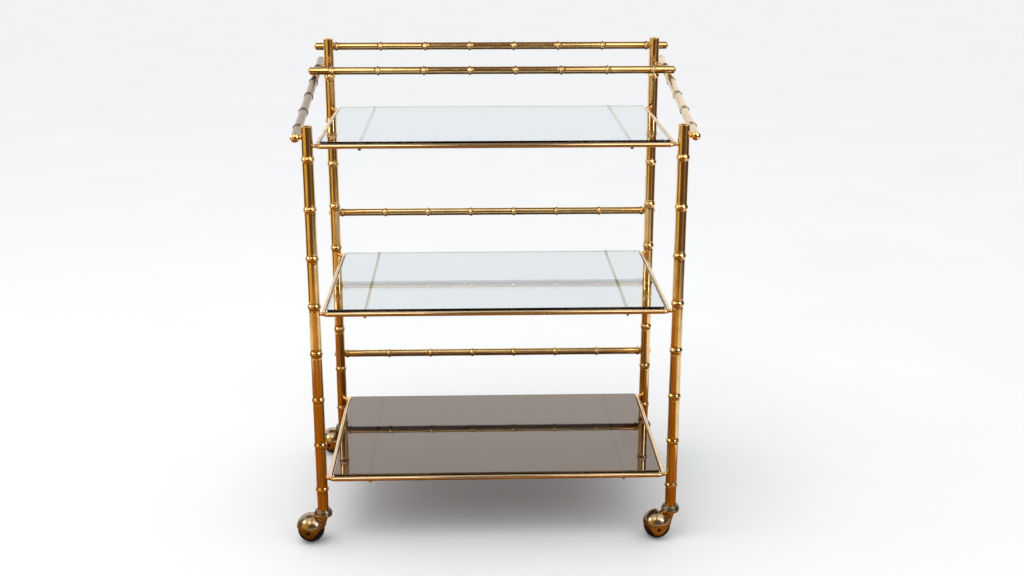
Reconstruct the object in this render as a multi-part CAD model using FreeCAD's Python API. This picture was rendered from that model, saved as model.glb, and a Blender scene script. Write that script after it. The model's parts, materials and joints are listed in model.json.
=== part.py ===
import FreeCAD, Part
import math
import os

# A bar cart with a raised gallery: bamboo-look brass posts and rails, three glass shelves, ball casters.
# Lengths are in millimetres and angles in degrees. +X is right, +Y is back, +Z is up, the floor is Z = 0.
# The cart is laid out about the middle of its posts and moved at the end, so that the origin is
# the middle of the overall box on the floor.

# Posts
POST_SPACING_X = 620.0
POST_SPACING_Y = 392.0
POST_RADIUS = 9.5
POST_WALL = 1.2
FRONT_POST_ABOVE_SHELF = 36.0
BACK_POST_ABOVE_SHELF = 136.0
POST_NODE_PITCH = 84.5
FIRST_POST_NODE = 101.5

# Bamboo rings: a rounded ridge with a shallow neck on each side
POST_RING_RISE = 1.6
POST_RING_HALF_WIDTH = 4.5
RAIL_RING_RISE = 1.4
RAIL_RING_HALF_WIDTH = 3.0
NECK_WIDTH = 2.4
NECK_DEPTH = 0.4

# Caps that close the tubes
CAP_RIM = 0.5
CAP_SKIRT = 1.0
POST_CAP_DOME = 2.2
RAIL_CAP_DOME = 4.0
PLUG_LENGTH = 8.0
PLUG_CLEARANCE = 0.05

# Rails
RAIL_RADIUS = 7.0
RAIL_WALL = 1.0
RAIL_NODE_PITCH = 84.9
RAIL_STANDOFF = 3.0
TOP_BACK_RAIL_BELOW_POST_TOP = 18.0
MIDDLE_BACK_RAIL_ABOVE_SHELF = 81.6
LOWER_BACK_RAIL_ABOVE_SHELF = 91.1
TOP_BACK_RAIL_PAST_SIDE_RAIL = 10.0
SHORT_RAIL_PAST_POST = 14.5
STUB_RADIUS = 4.0

# Side rails, which rise towards the back, and the rail that lies across them
SIDE_RAIL_FRONT_ABOVE_SHELF = 15.7
SIDE_RAIL_SLOPE = 9.7
SIDE_RAIL_STUB_TO_CAP = 0.5
SIDE_RAIL_BACK_REACH = 43.0
SIDE_RAIL_FIRST_NODE = 42.4
SIDE_RAIL_NODE_PITCH = 84.5
CROSS_RAIL_SEAT_Y = 118.4
CROSS_RAIL_PAST_SIDE_RAIL = 11.5
SADDLE_RADIUS = 4.5
SADDLE_THICKNESS = 0.6

# Shelves
SHELF_HEIGHTS = {"top": 714.0, "middle": 424.7, "bottom": 119.5}
SHELF_ROD_RADIUS = 4.0
SHELF_INSET_X = 14.0
SHELF_CORNER_RADIUS = 10.0
CORNER_PIN_RADIUS = 3.0
CROSS_ROD_RADIUS = 3.0
CROSS_ROD_SPACING = 450.0
CROSS_ROD_COPE = 2.5
GLASS_THICKNESS = 8.0
GLASS_EDGE_GAP = 2.25
GLASS_CORNER_RADIUS = 5.0
GLASS_SEAT_GAP = 0.3

# Casters: a ball wheel under a domed hood, whose two ears hold the axle, trailing to the left of its stem
CASTER_TURN = {"front_left": -6.0, "front_right": 2.0, "back_left": -15.0, "back_right": 0.0}
CASTER_TRAIL = 23.0
WHEEL_RADIUS = 23.8
HOOD_GAP = 0.3
HOOD_WALL = 1.3
HOOD_LIFT = 3.2
FENDER_ABOVE_AXLE = 4.5
EAR_TIP_RADIUS = 8.5
EAR_TIP_DROP = 5.5
EAR_LEAN = 40.0
AXLE_RADIUS = 3.5
AXLE_BOSS_WALL = 2.5
AXLE_RECESS = 5.0
AXLE_RUNNING_GAP = 0.05
TYRE_SIDE_GAP = 1.4
WHEEL_CORE_RADIUS = 9.0
WHEEL_CORE_SINK = 1.0
NECK_TOP_RADIUS = 9.5
NECK_FOOT_RADIUS = 3.5
NECK_FOOT_ABOVE_AXLE = 6.0
NECK_TOP_BELOW_HOOD_TOP = 1.9
SWIVEL_FLANGE_RADIUS = 15.5
SWIVEL_FLANGE_HEIGHT = 4.0
SWIVEL_GAP = 0.3
STEM_RADIUS = 4.0
STEM_LENGTH = 36.0
STEM_ROOT = 6.0
STEM_RUNNING_GAP = 0.05
STEM_END_GAP = 1.0
SOCKET_FLANGE_RADIUS = 16.5
SOCKET_FLANGE_TOP_RADIUS = 13.0
SOCKET_FLANGE_HEIGHT = 7.5
SOCKET_LENGTH = 41.0

# Values that follow from the sizes above
POST_X = POST_SPACING_X / 2
POST_Y = POST_SPACING_Y / 2
POST_BORE = POST_RADIUS - POST_WALL
RAIL_BORE = RAIL_RADIUS - RAIL_WALL
POST_CAP_HEIGHT = CAP_SKIRT + POST_CAP_DOME
RAIL_CAP_HEIGHT = CAP_SKIRT + RAIL_CAP_DOME
POST_RING_REACH = POST_RING_HALF_WIDTH + NECK_WIDTH
RAIL_RING_REACH = RAIL_RING_HALF_WIDTH + NECK_WIDTH
FRONT_POST_TOP = SHELF_HEIGHTS["top"] + FRONT_POST_ABOVE_SHELF
BACK_POST_TOP = SHELF_HEIGHTS["top"] + BACK_POST_ABOVE_SHELF
RAIL_OFFSET = POST_RADIUS + RAIL_STANDOFF + RAIL_RADIUS
BACK_RAIL_Y = POST_Y + RAIL_OFFSET
TOP_BACK_RAIL_Z = BACK_POST_TOP - TOP_BACK_RAIL_BELOW_POST_TOP
MIDDLE_BACK_RAIL_Z = SHELF_HEIGHTS["middle"] + MIDDLE_BACK_RAIL_ABOVE_SHELF
LOWER_BACK_RAIL_Z = SHELF_HEIGHTS["bottom"] + LOWER_BACK_RAIL_ABOVE_SHELF
SIDE_RAIL_X = POST_X + RAIL_OFFSET
SIDE_RAIL_FRONT_Z = SHELF_HEIGHTS["top"] + SIDE_RAIL_FRONT_ABOVE_SHELF
TOP_BACK_RAIL_LENGTH = 2 * (SIDE_RAIL_X + TOP_BACK_RAIL_PAST_SIDE_RAIL)
CROSS_RAIL_LENGTH = 2 * (SIDE_RAIL_X + CROSS_RAIL_PAST_SIDE_RAIL)
SHORT_RAIL_LENGTH = 2 * (POST_X + SHORT_RAIL_PAST_POST)
SHELF_X = POST_X - SHELF_INSET_X
SHELF_Y = POST_Y
HOOD_INNER = WHEEL_RADIUS + HOOD_GAP
HOOD_OUTER = HOOD_INNER + HOOD_WALL
HOOD_SIDE = math.sqrt(HOOD_OUTER ** 2 - HOOD_LIFT ** 2)
HOOD_TOP = WHEEL_RADIUS + HOOD_LIFT + HOOD_OUTER
EAR_TIP_BELOW_HOOD_CENTRE = EAR_TIP_RADIUS + EAR_TIP_DROP + HOOD_LIFT
EAR_INNER_DEPTH = math.sqrt(HOOD_INNER ** 2 - EAR_TIP_BELOW_HOOD_CENTRE ** 2)
TYRE_HALF_WIDTH = EAR_INNER_DEPTH - TYRE_SIDE_GAP
WHEEL_CORE_HALF_WIDTH = TYRE_HALF_WIDTH - WHEEL_CORE_SINK
NECK_TOP_Z = HOOD_TOP - NECK_TOP_BELOW_HOOD_TOP
SWIVEL_FLANGE_TOP = NECK_TOP_Z + SWIVEL_FLANGE_HEIGHT
SOCKET_BOTTOM = SWIVEL_FLANGE_TOP + SWIVEL_GAP
POST_BOTTOM = SOCKET_BOTTOM + SOCKET_FLANGE_HEIGHT
STEM_TOP = SWIVEL_FLANGE_TOP + STEM_LENGTH
SLOPE = math.radians(SIDE_RAIL_SLOPE)
SIDE_RAIL_SPAN = POST_SPACING_Y / math.cos(SLOPE)
SIDE_RAIL_FRONT_REACH = STUB_RADIUS + SIDE_RAIL_STUB_TO_CAP
SIDE_RAIL_BACK_END = POST_Y + SIDE_RAIL_BACK_REACH * math.cos(SLOPE)
LEFT_REACH = POST_X + CASTER_TRAIL + HOOD_OUTER
RIGHT_REACH = max(CROSS_RAIL_LENGTH, TOP_BACK_RAIL_LENGTH) / 2
FRONT_REACH = POST_Y + HOOD_OUTER
ORIGIN = FreeCAD.Vector((RIGHT_REACH - LEFT_REACH) / 2, (SIDE_RAIL_BACK_END - FRONT_REACH) / 2, 0)

X_AXIS = FreeCAD.Vector(1, 0, 0)
Y_AXIS = FreeCAD.Vector(0, 1, 0)
Z_AXIS = FreeCAD.Vector(0, 0, 1)
ZERO = FreeCAD.Vector(0, 0, 0)

POSTS = {
    "front_left": (-POST_X, -POST_Y),
    "front_right": (POST_X, -POST_Y),
    "back_left": (-POST_X, POST_Y),
    "back_right": (POST_X, POST_Y),
}

nodes = {}


def add(name, *solids):
    """Keep one named node made of one or more separate solids."""
    nodes[name] = solids[0] if len(solids) == 1 else Part.makeCompound(list(solids))


def profile_point(radius, height):
    return FreeCAD.Vector(radius, 0, height)


def revolve(edges):
    """Turn a closed profile in the XZ plane about Z."""
    return Part.Face(Part.Wire(edges)).revolve(ZERO, Z_AXIS, 360)


def arc(start, middle, end):
    return Part.Arc(start, middle, end).toShape()


def polyline(points):
    return [Part.makeLine(a, b) for a, b in zip(points, points[1:])]


def bamboo_tube(length, radius, bore, ring_rise, ring_half_width, ring_heights):
    """A tube that stands on Z = 0, with a ring and two necks at each given height."""
    edges = []
    here = profile_point(radius, 0)
    for height in ring_heights:
        foot = height - ring_half_width - NECK_WIDTH
        stops = [
            (NECK_WIDTH, -NECK_DEPTH),
            (2 * ring_half_width, ring_rise),
            (NECK_WIDTH, -NECK_DEPTH),
        ]
        edges.append(Part.makeLine(here, profile_point(radius, foot)))
        here = profile_point(radius, foot)
        for width, rise in stops:
            crest = profile_point(radius + rise, here.z + width / 2)
            end = profile_point(radius, here.z + width)
            edges.append(arc(here, crest, end))
            here = end
    top = profile_point(radius, length)
    edges.append(Part.makeLine(here, top))
    edges += polyline([top, profile_point(bore, length), profile_point(bore, 0), profile_point(radius, 0)])
    return revolve(edges)


def tube_cap(radius, bore, dome):
    """A domed cap that stands on a tube end at Z = 0, with its plug in the bore below."""
    rim = radius + CAP_RIM
    plug = bore - PLUG_CLEARANCE
    dome_foot = profile_point(rim, CAP_SKIRT)
    dome_top = profile_point(0, CAP_SKIRT + dome)
    dome_radius = (rim ** 2 + dome ** 2) / (2 * dome)
    half_rim = rim / 2
    dome_drop = dome_radius - math.sqrt(dome_radius ** 2 - half_rim ** 2)
    edges = polyline([
        dome_top,
        profile_point(0, -PLUG_LENGTH),
        profile_point(plug, -PLUG_LENGTH),
        profile_point(plug, 0),
        profile_point(rim, 0),
        dome_foot,
    ])
    edges.append(arc(dome_foot, profile_point(half_rim, dome_top.z - dome_drop), dome_top))
    return revolve(edges)


def round_bar(radius, start, end):
    """A solid round bar between two points."""
    run = end - start
    return Part.makeCylinder(radius, run.Length, start, run)


def turn_z_to(shape, direction):
    """Turn a shape built along Z so that it runs along the given direction."""
    turned = shape.copy()
    turned.Placement = FreeCAD.Placement(ZERO, FreeCAD.Rotation(Z_AXIS, direction))
    return turned


def rings_from(first, pitch, last):
    """Ring positions along a tube from the first ring on, as many as fit before the last place for one."""
    count = int((last - first) / pitch) + 1
    return [first + pitch * i for i in range(count)]


def centred_rings(length):
    """Ring positions along a rail, spread evenly about its middle."""
    gaps = int((length - 2 * RAIL_RING_REACH) / RAIL_NODE_PITCH)
    return [length / 2 + RAIL_NODE_PITCH * (i - gaps / 2) for i in range(gaps + 1)]


def make_posts():
    caps = []
    for name, (x, y) in POSTS.items():
        top = (FRONT_POST_TOP if y < 0 else BACK_POST_TOP) - POST_CAP_HEIGHT
        length = top - POST_BOTTOM
        heights = rings_from(FIRST_POST_NODE - POST_BOTTOM, POST_NODE_PITCH, length - POST_RING_REACH)
        post = bamboo_tube(length, POST_RADIUS, POST_BORE, POST_RING_RISE, POST_RING_HALF_WIDTH, heights)
        add(name + "_post", post.translated(FreeCAD.Vector(x, y, POST_BOTTOM)))
        caps.append(tube_cap(POST_RADIUS, POST_BORE, POST_CAP_DOME).translated(FreeCAD.Vector(x, y, top)))
    add("post_caps", *caps)


def rail_and_caps(start, direction, length, ring_heights):
    """A bamboo rail with a cap at each end, from the start of its tube along a direction."""
    end = start + direction * length
    tube = bamboo_tube(length, RAIL_RADIUS, RAIL_BORE, RAIL_RING_RISE, RAIL_RING_HALF_WIDTH, ring_heights)
    cap = tube_cap(RAIL_RADIUS, RAIL_BORE, RAIL_CAP_DOME)
    caps = [
        turn_z_to(cap, direction * -1).translated(start),
        turn_z_to(cap, direction).translated(end),
    ]
    return turn_z_to(tube, direction).translated(start), caps


def cope(bar, *bars):
    """Cut the ends of a short bar to sit against the bars that it joins."""
    for other in bars:
        bar = bar.cut(other)
    return bar


def post_core(x, y):
    """The full round outline of a post, with no rings and no bore."""
    return Part.makeCylinder(POST_RADIUS, BACK_POST_TOP, FreeCAD.Vector(x, y, 0))


def middle_piece(shape, point):
    """The solid of a cut shape that lies nearest to a point."""
    return min(shape.Solids, key=lambda s: (s.CenterOfMass - point).Length)


def stub_between(post_point, rail_point, rail_direction):
    """The short round stub between a post axis and a rail axis."""
    reach = rail_direction * (3 * RAIL_RADIUS)
    rail_core = round_bar(RAIL_RADIUS, rail_point - reach, rail_point + reach)
    bar = round_bar(STUB_RADIUS, post_point, rail_point)
    bar = cope(bar, post_core(post_point.x, post_point.y), rail_core)
    return middle_piece(bar, (post_point + rail_point) * 0.5)


def make_rails():
    caps = []
    stubs = []
    back_rails = [
        ("top_back_rail", TOP_BACK_RAIL_Z, TOP_BACK_RAIL_LENGTH),
        ("middle_back_rail", MIDDLE_BACK_RAIL_Z, SHORT_RAIL_LENGTH),
        ("lower_back_rail", LOWER_BACK_RAIL_Z, SHORT_RAIL_LENGTH),
    ]
    for name, z, overall in back_rails:
        length = overall - 2 * RAIL_CAP_HEIGHT
        start = FreeCAD.Vector(-length / 2, BACK_RAIL_Y, z)
        rail, ends = rail_and_caps(start, X_AXIS, length, centred_rings(length))
        add(name, rail)
        caps += ends
        for x in (-POST_X, POST_X):
            post_point = FreeCAD.Vector(x, POST_Y, z)
            stubs.append(stub_between(post_point, FreeCAD.Vector(x, BACK_RAIL_Y, z), X_AXIS))
    saddles = []
    slope = FreeCAD.Vector(0, math.cos(SLOPE), math.sin(SLOPE))
    lift = FreeCAD.Vector(0, -math.sin(SLOPE), math.cos(SLOPE)) * (2 * RAIL_RADIUS + SADDLE_THICKNESS)
    seat_z = SIDE_RAIL_FRONT_Z + (CROSS_RAIL_SEAT_Y + POST_Y) * math.tan(SLOPE)
    length = SIDE_RAIL_FRONT_REACH + SIDE_RAIL_SPAN + SIDE_RAIL_BACK_REACH - RAIL_CAP_HEIGHT
    first_ring = SIDE_RAIL_FRONT_REACH + SIDE_RAIL_FIRST_NODE
    rings = rings_from(first_ring, SIDE_RAIL_NODE_PITCH, length - RAIL_RING_REACH)
    for name, side in (("left_side_rail", -1), ("right_side_rail", 1)):
        front_joint = FreeCAD.Vector(side * SIDE_RAIL_X, -POST_Y, SIDE_RAIL_FRONT_Z)
        rail, ends = rail_and_caps(front_joint - slope * SIDE_RAIL_FRONT_REACH, slope, length, rings)
        add(name, rail)
        caps += ends
        for along in (0, SIDE_RAIL_SPAN):
            rail_point = front_joint + slope * along
            post_point = FreeCAD.Vector(side * POST_X, rail_point.y, rail_point.z)
            stubs.append(stub_between(post_point, rail_point, slope))
        seat = FreeCAD.Vector(side * SIDE_RAIL_X, CROSS_RAIL_SEAT_Y, seat_z)
        saddles.append(saddle(seat, slope, lift))
    length = CROSS_RAIL_LENGTH - 2 * RAIL_CAP_HEIGHT
    start = FreeCAD.Vector(-length / 2, CROSS_RAIL_SEAT_Y, seat_z) + lift
    rail, ends = rail_and_caps(start, X_AXIS, length, centred_rings(length))
    add("cross_rail", rail)
    add("rail_end_caps", *(caps + ends))
    add("rail_stubs", *stubs)
    add("rail_saddles", *saddles)


def saddle(seat, slope, lift):
    """The braze between a side rail and the cross rail above it."""
    above = seat + lift
    along_side = slope * (3 * RAIL_RADIUS)
    along_cross = X_AXIS * (3 * RAIL_RADIUS)
    side_core = round_bar(RAIL_RADIUS, seat - along_side, seat + along_side)
    cross_core = round_bar(RAIL_RADIUS, above - along_cross, above + along_cross)
    bar = cope(round_bar(SADDLE_RADIUS, seat, above), side_core, cross_core)
    return middle_piece(bar, (seat + above) * 0.5)


def make_shelf_frame(z):
    """One round rod bent into a rectangle with rounded corners, lying at height z."""
    straight_x = SHELF_X - SHELF_CORNER_RADIUS
    straight_y = SHELF_Y - SHELF_CORNER_RADIUS
    pieces = []
    for side in (-1, 1):
        long_start = FreeCAD.Vector(-straight_x, side * SHELF_Y, z)
        long_end = FreeCAD.Vector(straight_x, side * SHELF_Y, z)
        pieces.append(round_bar(SHELF_ROD_RADIUS, long_start, long_end))
        short_start = FreeCAD.Vector(side * SHELF_X, -straight_y, z)
        short_end = FreeCAD.Vector(side * SHELF_X, straight_y, z)
        pieces.append(round_bar(SHELF_ROD_RADIUS, short_start, short_end))
    for quarter in range(4):
        bend = Part.makeTorus(SHELF_CORNER_RADIUS, SHELF_ROD_RADIUS, ZERO, Z_AXIS, -180, 180, 90)
        bend = bend.rotated(ZERO, Z_AXIS, 90 * quarter)
        sign_x = 1 if quarter in (0, 3) else -1
        sign_y = 1 if quarter in (0, 1) else -1
        pieces.append(bend.translated(FreeCAD.Vector(sign_x * straight_x, sign_y * straight_y, z)))
    return pieces[0].multiFuse(pieces[1:]).removeSplitter().Solids[0]


def corner_pin(x, y, z, frame):
    """The pin from a post to the bend of a shelf frame."""
    post_point = FreeCAD.Vector(x, y, z)
    bend_x = math.copysign(SHELF_X - SHELF_CORNER_RADIUS, x)
    bend_y = math.copysign(SHELF_Y - SHELF_CORNER_RADIUS, y)
    bend_centre = FreeCAD.Vector(bend_x, bend_y, z)
    outward = (post_point - bend_centre).normalize()
    rod_point = bend_centre + outward * SHELF_CORNER_RADIUS
    bar = cope(round_bar(CORNER_PIN_RADIUS, post_point, rod_point), post_core(x, y), frame)
    return middle_piece(bar, (post_point + rod_point) * 0.5)


def make_glass(bottom):
    """A pane with rounded corners, clear of the rod all round."""
    half_x = SHELF_X - SHELF_ROD_RADIUS - GLASS_EDGE_GAP
    half_y = SHELF_Y - SHELF_ROD_RADIUS - GLASS_EDGE_GAP
    pane = Part.makeBox(2 * half_x, 2 * half_y, GLASS_THICKNESS, FreeCAD.Vector(-half_x, -half_y, bottom))
    upright = [e for e in pane.Edges if abs(e.tangentAt(e.FirstParameter).z) > 0.5]
    return pane.makeFillet(GLASS_CORNER_RADIUS, upright)


def make_shelves():
    for name, z in SHELF_HEIGHTS.items():
        frame = make_shelf_frame(z)
        add(name + "_shelf_frame", frame)
        add(name + "_corner_pins", *[corner_pin(x, y, z, frame) for x, y in POSTS.values()])
        rod_z = z - SHELF_ROD_RADIUS + CROSS_ROD_COPE - CROSS_ROD_RADIUS
        rods = []
        for x in (-CROSS_ROD_SPACING / 2, CROSS_ROD_SPACING / 2):
            start = FreeCAD.Vector(x, -SHELF_Y, rod_z)
            end = FreeCAD.Vector(x, SHELF_Y, rod_z)
            rods.append(cope(round_bar(CROSS_ROD_RADIUS, start, end), frame).Solids[0])
        add(name + "_cross_rods", *rods)
        add(name + "_glass", make_glass(rod_z + CROSS_ROD_RADIUS + GLASS_SEAT_GAP))


# Each caster is built with its stem on the Z axis, its wheel towards -X and its axle along Y.
WHEEL_CENTRE = FreeCAD.Vector(-CASTER_TRAIL, 0, WHEEL_RADIUS)
HOOD_CENTRE = WHEEL_CENTRE + Z_AXIS * HOOD_LIFT


def axle_bar(radius, start, end):
    """A round bar on the axle line between two distances from the wheel's centre."""
    return round_bar(radius, WHEEL_CENTRE + Y_AXIS * start, WHEEL_CENTRE + Y_AXIS * end)


def ear_prism():
    """The space of both ears: a rounded tip below the axle and flanks that lean out to the fender line."""
    lean = math.radians(EAR_LEAN)
    flank_x = EAR_TIP_RADIUS * math.cos(lean)
    flank_z = -EAR_TIP_DROP - EAR_TIP_RADIUS * math.sin(lean)
    top_x = flank_x + (FENDER_ABOVE_AXLE - flank_z) * math.tan(lean)
    front = WHEEL_CENTRE - Y_AXIS * (2 * HOOD_OUTER)
    top_left = front + FreeCAD.Vector(-top_x, 0, FENDER_ABOVE_AXLE)
    top_right = front + FreeCAD.Vector(top_x, 0, FENDER_ABOVE_AXLE)
    foot_left = front + FreeCAD.Vector(-flank_x, 0, flank_z)
    foot_right = front + FreeCAD.Vector(flank_x, 0, flank_z)
    tip = front - Z_AXIS * (EAR_TIP_DROP + EAR_TIP_RADIUS)
    edges = polyline([foot_right, top_right, top_left, foot_left])
    edges.append(arc(foot_left, tip, foot_right))
    return Part.Face(Part.Wire(edges)).extrude(Y_AXIS * (4 * HOOD_OUTER))


def hood_region():
    """The space that the hood fills: all above the fender line, and the two ears below it."""
    room = 4 * HOOD_OUTER
    corner = WHEEL_CENTRE + FreeCAD.Vector(-room / 2, -room / 2, FENDER_ABOVE_AXLE)
    return Part.makeBox(room, room, room, corner).fuse(ear_prism())


def make_hood():
    """The cast hood with its two axle bosses, tapered neck and collar."""
    outer = Part.makeSphere(HOOD_OUTER, HOOD_CENTRE)
    inner = Part.makeSphere(HOOD_INNER, HOOD_CENTRE)
    neck_foot = WHEEL_RADIUS + NECK_FOOT_ABOVE_AXLE
    neck_height = NECK_TOP_Z - neck_foot
    neck = Part.makeCone(NECK_FOOT_RADIUS, NECK_TOP_RADIUS, neck_height, FreeCAD.Vector(0, 0, neck_foot))
    collar = Part.makeCylinder(SWIVEL_FLANGE_RADIUS, SWIVEL_FLANGE_HEIGHT, FreeCAD.Vector(0, 0, NECK_TOP_Z))
    hood = outer.common(hood_region()).multiFuse([neck, collar]).cut(inner)
    boss_radius = AXLE_RADIUS + AXLE_BOSS_WALL
    bosses = [
        axle_bar(boss_radius, side * EAR_INNER_DEPTH, side * HOOD_OUTER).common(outer)
        for side in (-1, 1)
    ]
    hood = hood.multiFuse(bosses).cut(axle_bar(AXLE_RADIUS, -HOOD_OUTER, HOOD_OUTER))
    hood = hood.cut(make_stem())
    return max(hood.removeSplitter().Solids, key=lambda s: s.Volume)


def make_stem():
    root = SWIVEL_FLANGE_TOP - STEM_ROOT
    return Part.makeCylinder(STEM_RADIUS, STEM_TOP - root, FreeCAD.Vector(0, 0, root))


def make_axle():
    reach = HOOD_SIDE - AXLE_RECESS
    return axle_bar(AXLE_RADIUS, -reach, reach)


def make_wheel():
    """The wheel core, bored right through for the axle."""
    core = axle_bar(WHEEL_CORE_RADIUS, -WHEEL_CORE_HALF_WIDTH, WHEEL_CORE_HALF_WIDTH)
    return core.cut(axle_bar(AXLE_RADIUS + AXLE_RUNNING_GAP, -WHEEL_RADIUS, WHEEL_RADIUS)).Solids[0]


def make_tyre():
    """The rubber ball around the wheel core, cut flat at the sides where the ears stand."""
    ball = Part.makeSphere(WHEEL_RADIUS, WHEEL_CENTRE)
    zone = ball.common(axle_bar(2 * WHEEL_RADIUS, -TYRE_HALF_WIDTH, TYRE_HALF_WIDTH))
    return zone.cut(axle_bar(WHEEL_CORE_RADIUS, -WHEEL_RADIUS, WHEEL_RADIUS)).Solids[0]


def make_socket():
    """The plug in the foot of a post, with a tapered collar below and a bore for the stem."""
    foot = FreeCAD.Vector(0, 0, SOCKET_BOTTOM)
    collar = Part.makeCone(SOCKET_FLANGE_RADIUS, SOCKET_FLANGE_TOP_RADIUS, SOCKET_FLANGE_HEIGHT, foot)
    plug = Part.makeCylinder(POST_BORE - PLUG_CLEARANCE, SOCKET_LENGTH, FreeCAD.Vector(0, 0, POST_BOTTOM))
    bore_length = STEM_TOP + STEM_END_GAP - SOCKET_BOTTOM
    bore = Part.makeCylinder(STEM_RADIUS + STEM_RUNNING_GAP, bore_length, foot)
    return collar.fuse(plug).cut(bore).Solids[0]


def make_casters():
    pieces = {
        "hood": make_hood(),
        "stem": make_stem(),
        "axle": make_axle(),
        "wheel": make_wheel(),
        "tyre": make_tyre(),
    }
    socket = make_socket()
    for corner, (x, y) in POSTS.items():
        place = FreeCAD.Vector(x, y, 0)
        add(corner + "_socket", socket.translated(place))
        for piece, shape in pieces.items():
            turned = shape.rotated(ZERO, Z_AXIS, CASTER_TURN[corner])
            add(corner + "_" + piece, turned.translated(place))


make_posts()
make_rails()
make_shelves()
make_casters()

os.makedirs("parts", exist_ok=True)
for name, shape in nodes.items():
    shape.translated(ORIGIN * -1).exportStep("parts/" + name + ".step")
    print(name, len(shape.Solids), "solids, valid:", shape.isValid())
print("origin in the layout:", ORIGIN)
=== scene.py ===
import json
import math

import bmesh
import bpy
from mathutils import Matrix, Vector


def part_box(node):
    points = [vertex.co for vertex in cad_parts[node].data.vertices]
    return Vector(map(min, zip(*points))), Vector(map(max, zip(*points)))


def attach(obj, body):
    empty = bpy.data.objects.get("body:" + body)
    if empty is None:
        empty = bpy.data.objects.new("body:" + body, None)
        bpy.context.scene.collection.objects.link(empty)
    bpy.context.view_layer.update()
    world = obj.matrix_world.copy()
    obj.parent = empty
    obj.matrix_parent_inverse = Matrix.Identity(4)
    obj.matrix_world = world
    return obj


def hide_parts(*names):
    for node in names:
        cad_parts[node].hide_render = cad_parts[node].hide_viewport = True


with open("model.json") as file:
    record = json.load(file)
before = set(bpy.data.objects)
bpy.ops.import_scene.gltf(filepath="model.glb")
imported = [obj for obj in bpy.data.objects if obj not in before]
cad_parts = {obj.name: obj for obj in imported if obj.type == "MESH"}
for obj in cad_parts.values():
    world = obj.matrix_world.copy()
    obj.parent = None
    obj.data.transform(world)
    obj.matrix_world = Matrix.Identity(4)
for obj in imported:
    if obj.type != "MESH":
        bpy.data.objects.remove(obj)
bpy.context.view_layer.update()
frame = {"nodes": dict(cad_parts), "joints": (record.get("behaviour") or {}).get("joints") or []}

bl_info = {
    "name": "Bar cart",
    "version": (1, 0, 0),
    "blender": (4, 5, 0),
    "location": "View3D > Sidebar > Bar cart",
    "description": "Builds a brass bar cart with bamboo-look tube, glass shelves and ball casters",
    "category": "Object",
}

# Lengths are in metres. +X is right, +Y is back, +Z is up, and the floor is Z = 0.
MM = 0.001
UP = Vector((0, 0, 1))
BACK = Vector((0, 1, 0))
CORNERS = ("front_left", "front_right", "back_left", "back_right")
SHELVES = ("top", "middle", "bottom")
BACK_RAILS = ("top_back_rail", "middle_back_rail", "lower_back_rail")
LONG_RAILS = BACK_RAILS + ("cross_rail",)
SIDE_RAILS = ("left_side_rail", "right_side_rail")

# How finely round pieces are divided
TUBE_SEGMENTS = 40
RING_SAMPLES = 41
ROD_SEGMENTS = 28
ROD_CORNER_STEPS = 10
FITTING_SEGMENTS = 32
PANE_CORNER_STEPS = 10
BALL_SEGMENTS = 72
BALL_STEPS = 36
EAR_FLANK_STEPS = 8
EAR_TIP_STEPS = 18
EAR_ROWS = 12
HOOD_COLUMNS = 48
HOOD_ROWS = 28
NECK_STEPS = 12
CROWN_SHARES = (0.85, 0.65, 0.45, 0.25, 0.1)
FILLET_SHARES = (0.3, 0.55, 0.75, 0.9, 1)
SHARP_ANGLE = math.radians(38)
PANE_SHARP_ANGLE = math.radians(15)
HOOD_RIM_ANGLE = math.radians(50)

# Small roundings, fillets and overlaps
TUBE_WALL = 1.5 * MM
RING_SWELL_REACH = 9.0 * MM
CAP_PLUG = 1.0 * MM
CAP_ROUND = 0.45 * MM
STUB_HALF = 3.0 * MM
STUB_FILLET = 1.2 * MM
SADDLE_RADIUS = 3.6 * MM
SADDLE_HALF = 2.2 * MM
SADDLE_FILLET = 1.0 * MM
PIN_OVERLAP = 1.2 * MM
PIN_FILLET = 1.0 * MM
THIN_ROD_ROUND = 0.8 * MM
TYRE_ROUND = 0.8 * MM
CORE_ROUND = 0.5 * MM
CORE_GAP = 0.1 * MM
NECK_CURVE = 1.35
METAL_RELIEF = 0.05 * MM
RUBBER_RELIEF = 0.1 * MM

# Points closer than this are one point, or lie on the axis
TUBE_WELD = 0.02 * MM
HOOD_WELD = 0.01 * MM
ON_AXIS = 0.0001 * MM

# Where cards and lamps stand round the cart: cards by (x, y) and height, lamps by (x, y, z)
FRONT_LEFT = (-0.75, -1.35)
FRONT_RIGHT = (1.00, -1.35)
STRIP_LEFT = (-0.20, -1.35)
STRIP_RIGHT = (0.30, -1.35)
LEFT_FRONT = (-1.60, -0.54)
LEFT_BACK = (-1.60, 0.60)
RIGHT_FRONT = (1.60, -1.20)
RIGHT_BACK = (1.60, 1.00)
OVERHEAD_SPAN = ((-0.25, -1.35), (0.35, 0.10))
CEILING_SPAN = ((-2.0, 0.1), (2.0, 2.0))
LOW_SPAN = ((-1.2, -1.1), (0.68, 0.6))
FAR_LOW_SPAN = ((-1.6, -1.9), (0.80, -1.1))
FLOOR_SPAN = ((-30.0, -30.0), (30.0, 30.0))
FRONT_BOTTOM = 0.14
FRONT_TOP = 1.30
SIDE_TOP = 1.40
STAGE_TOP = 2.50
NEAR_FLOOR = 0.002
KEY_PLACE = (-0.8, -0.6, 2.8)
KEY_SIZE = (2.4, 1.6)
GLINT_PLACES = {"left_glint": (-1.50, -0.45, 1.00), "right_glint": (1.25, -1.15, 1.05)}
GLINT_SIZE = (0.5, 0.5)
GLINT_TARGET = (0, 0, 0.3)
WIDE_LAMP_PLACES = {"left_wide_lamp": (-0.65, -1.36, 1.90), "right_wide_lamp": (0.75, -1.36, 1.90)}
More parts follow.
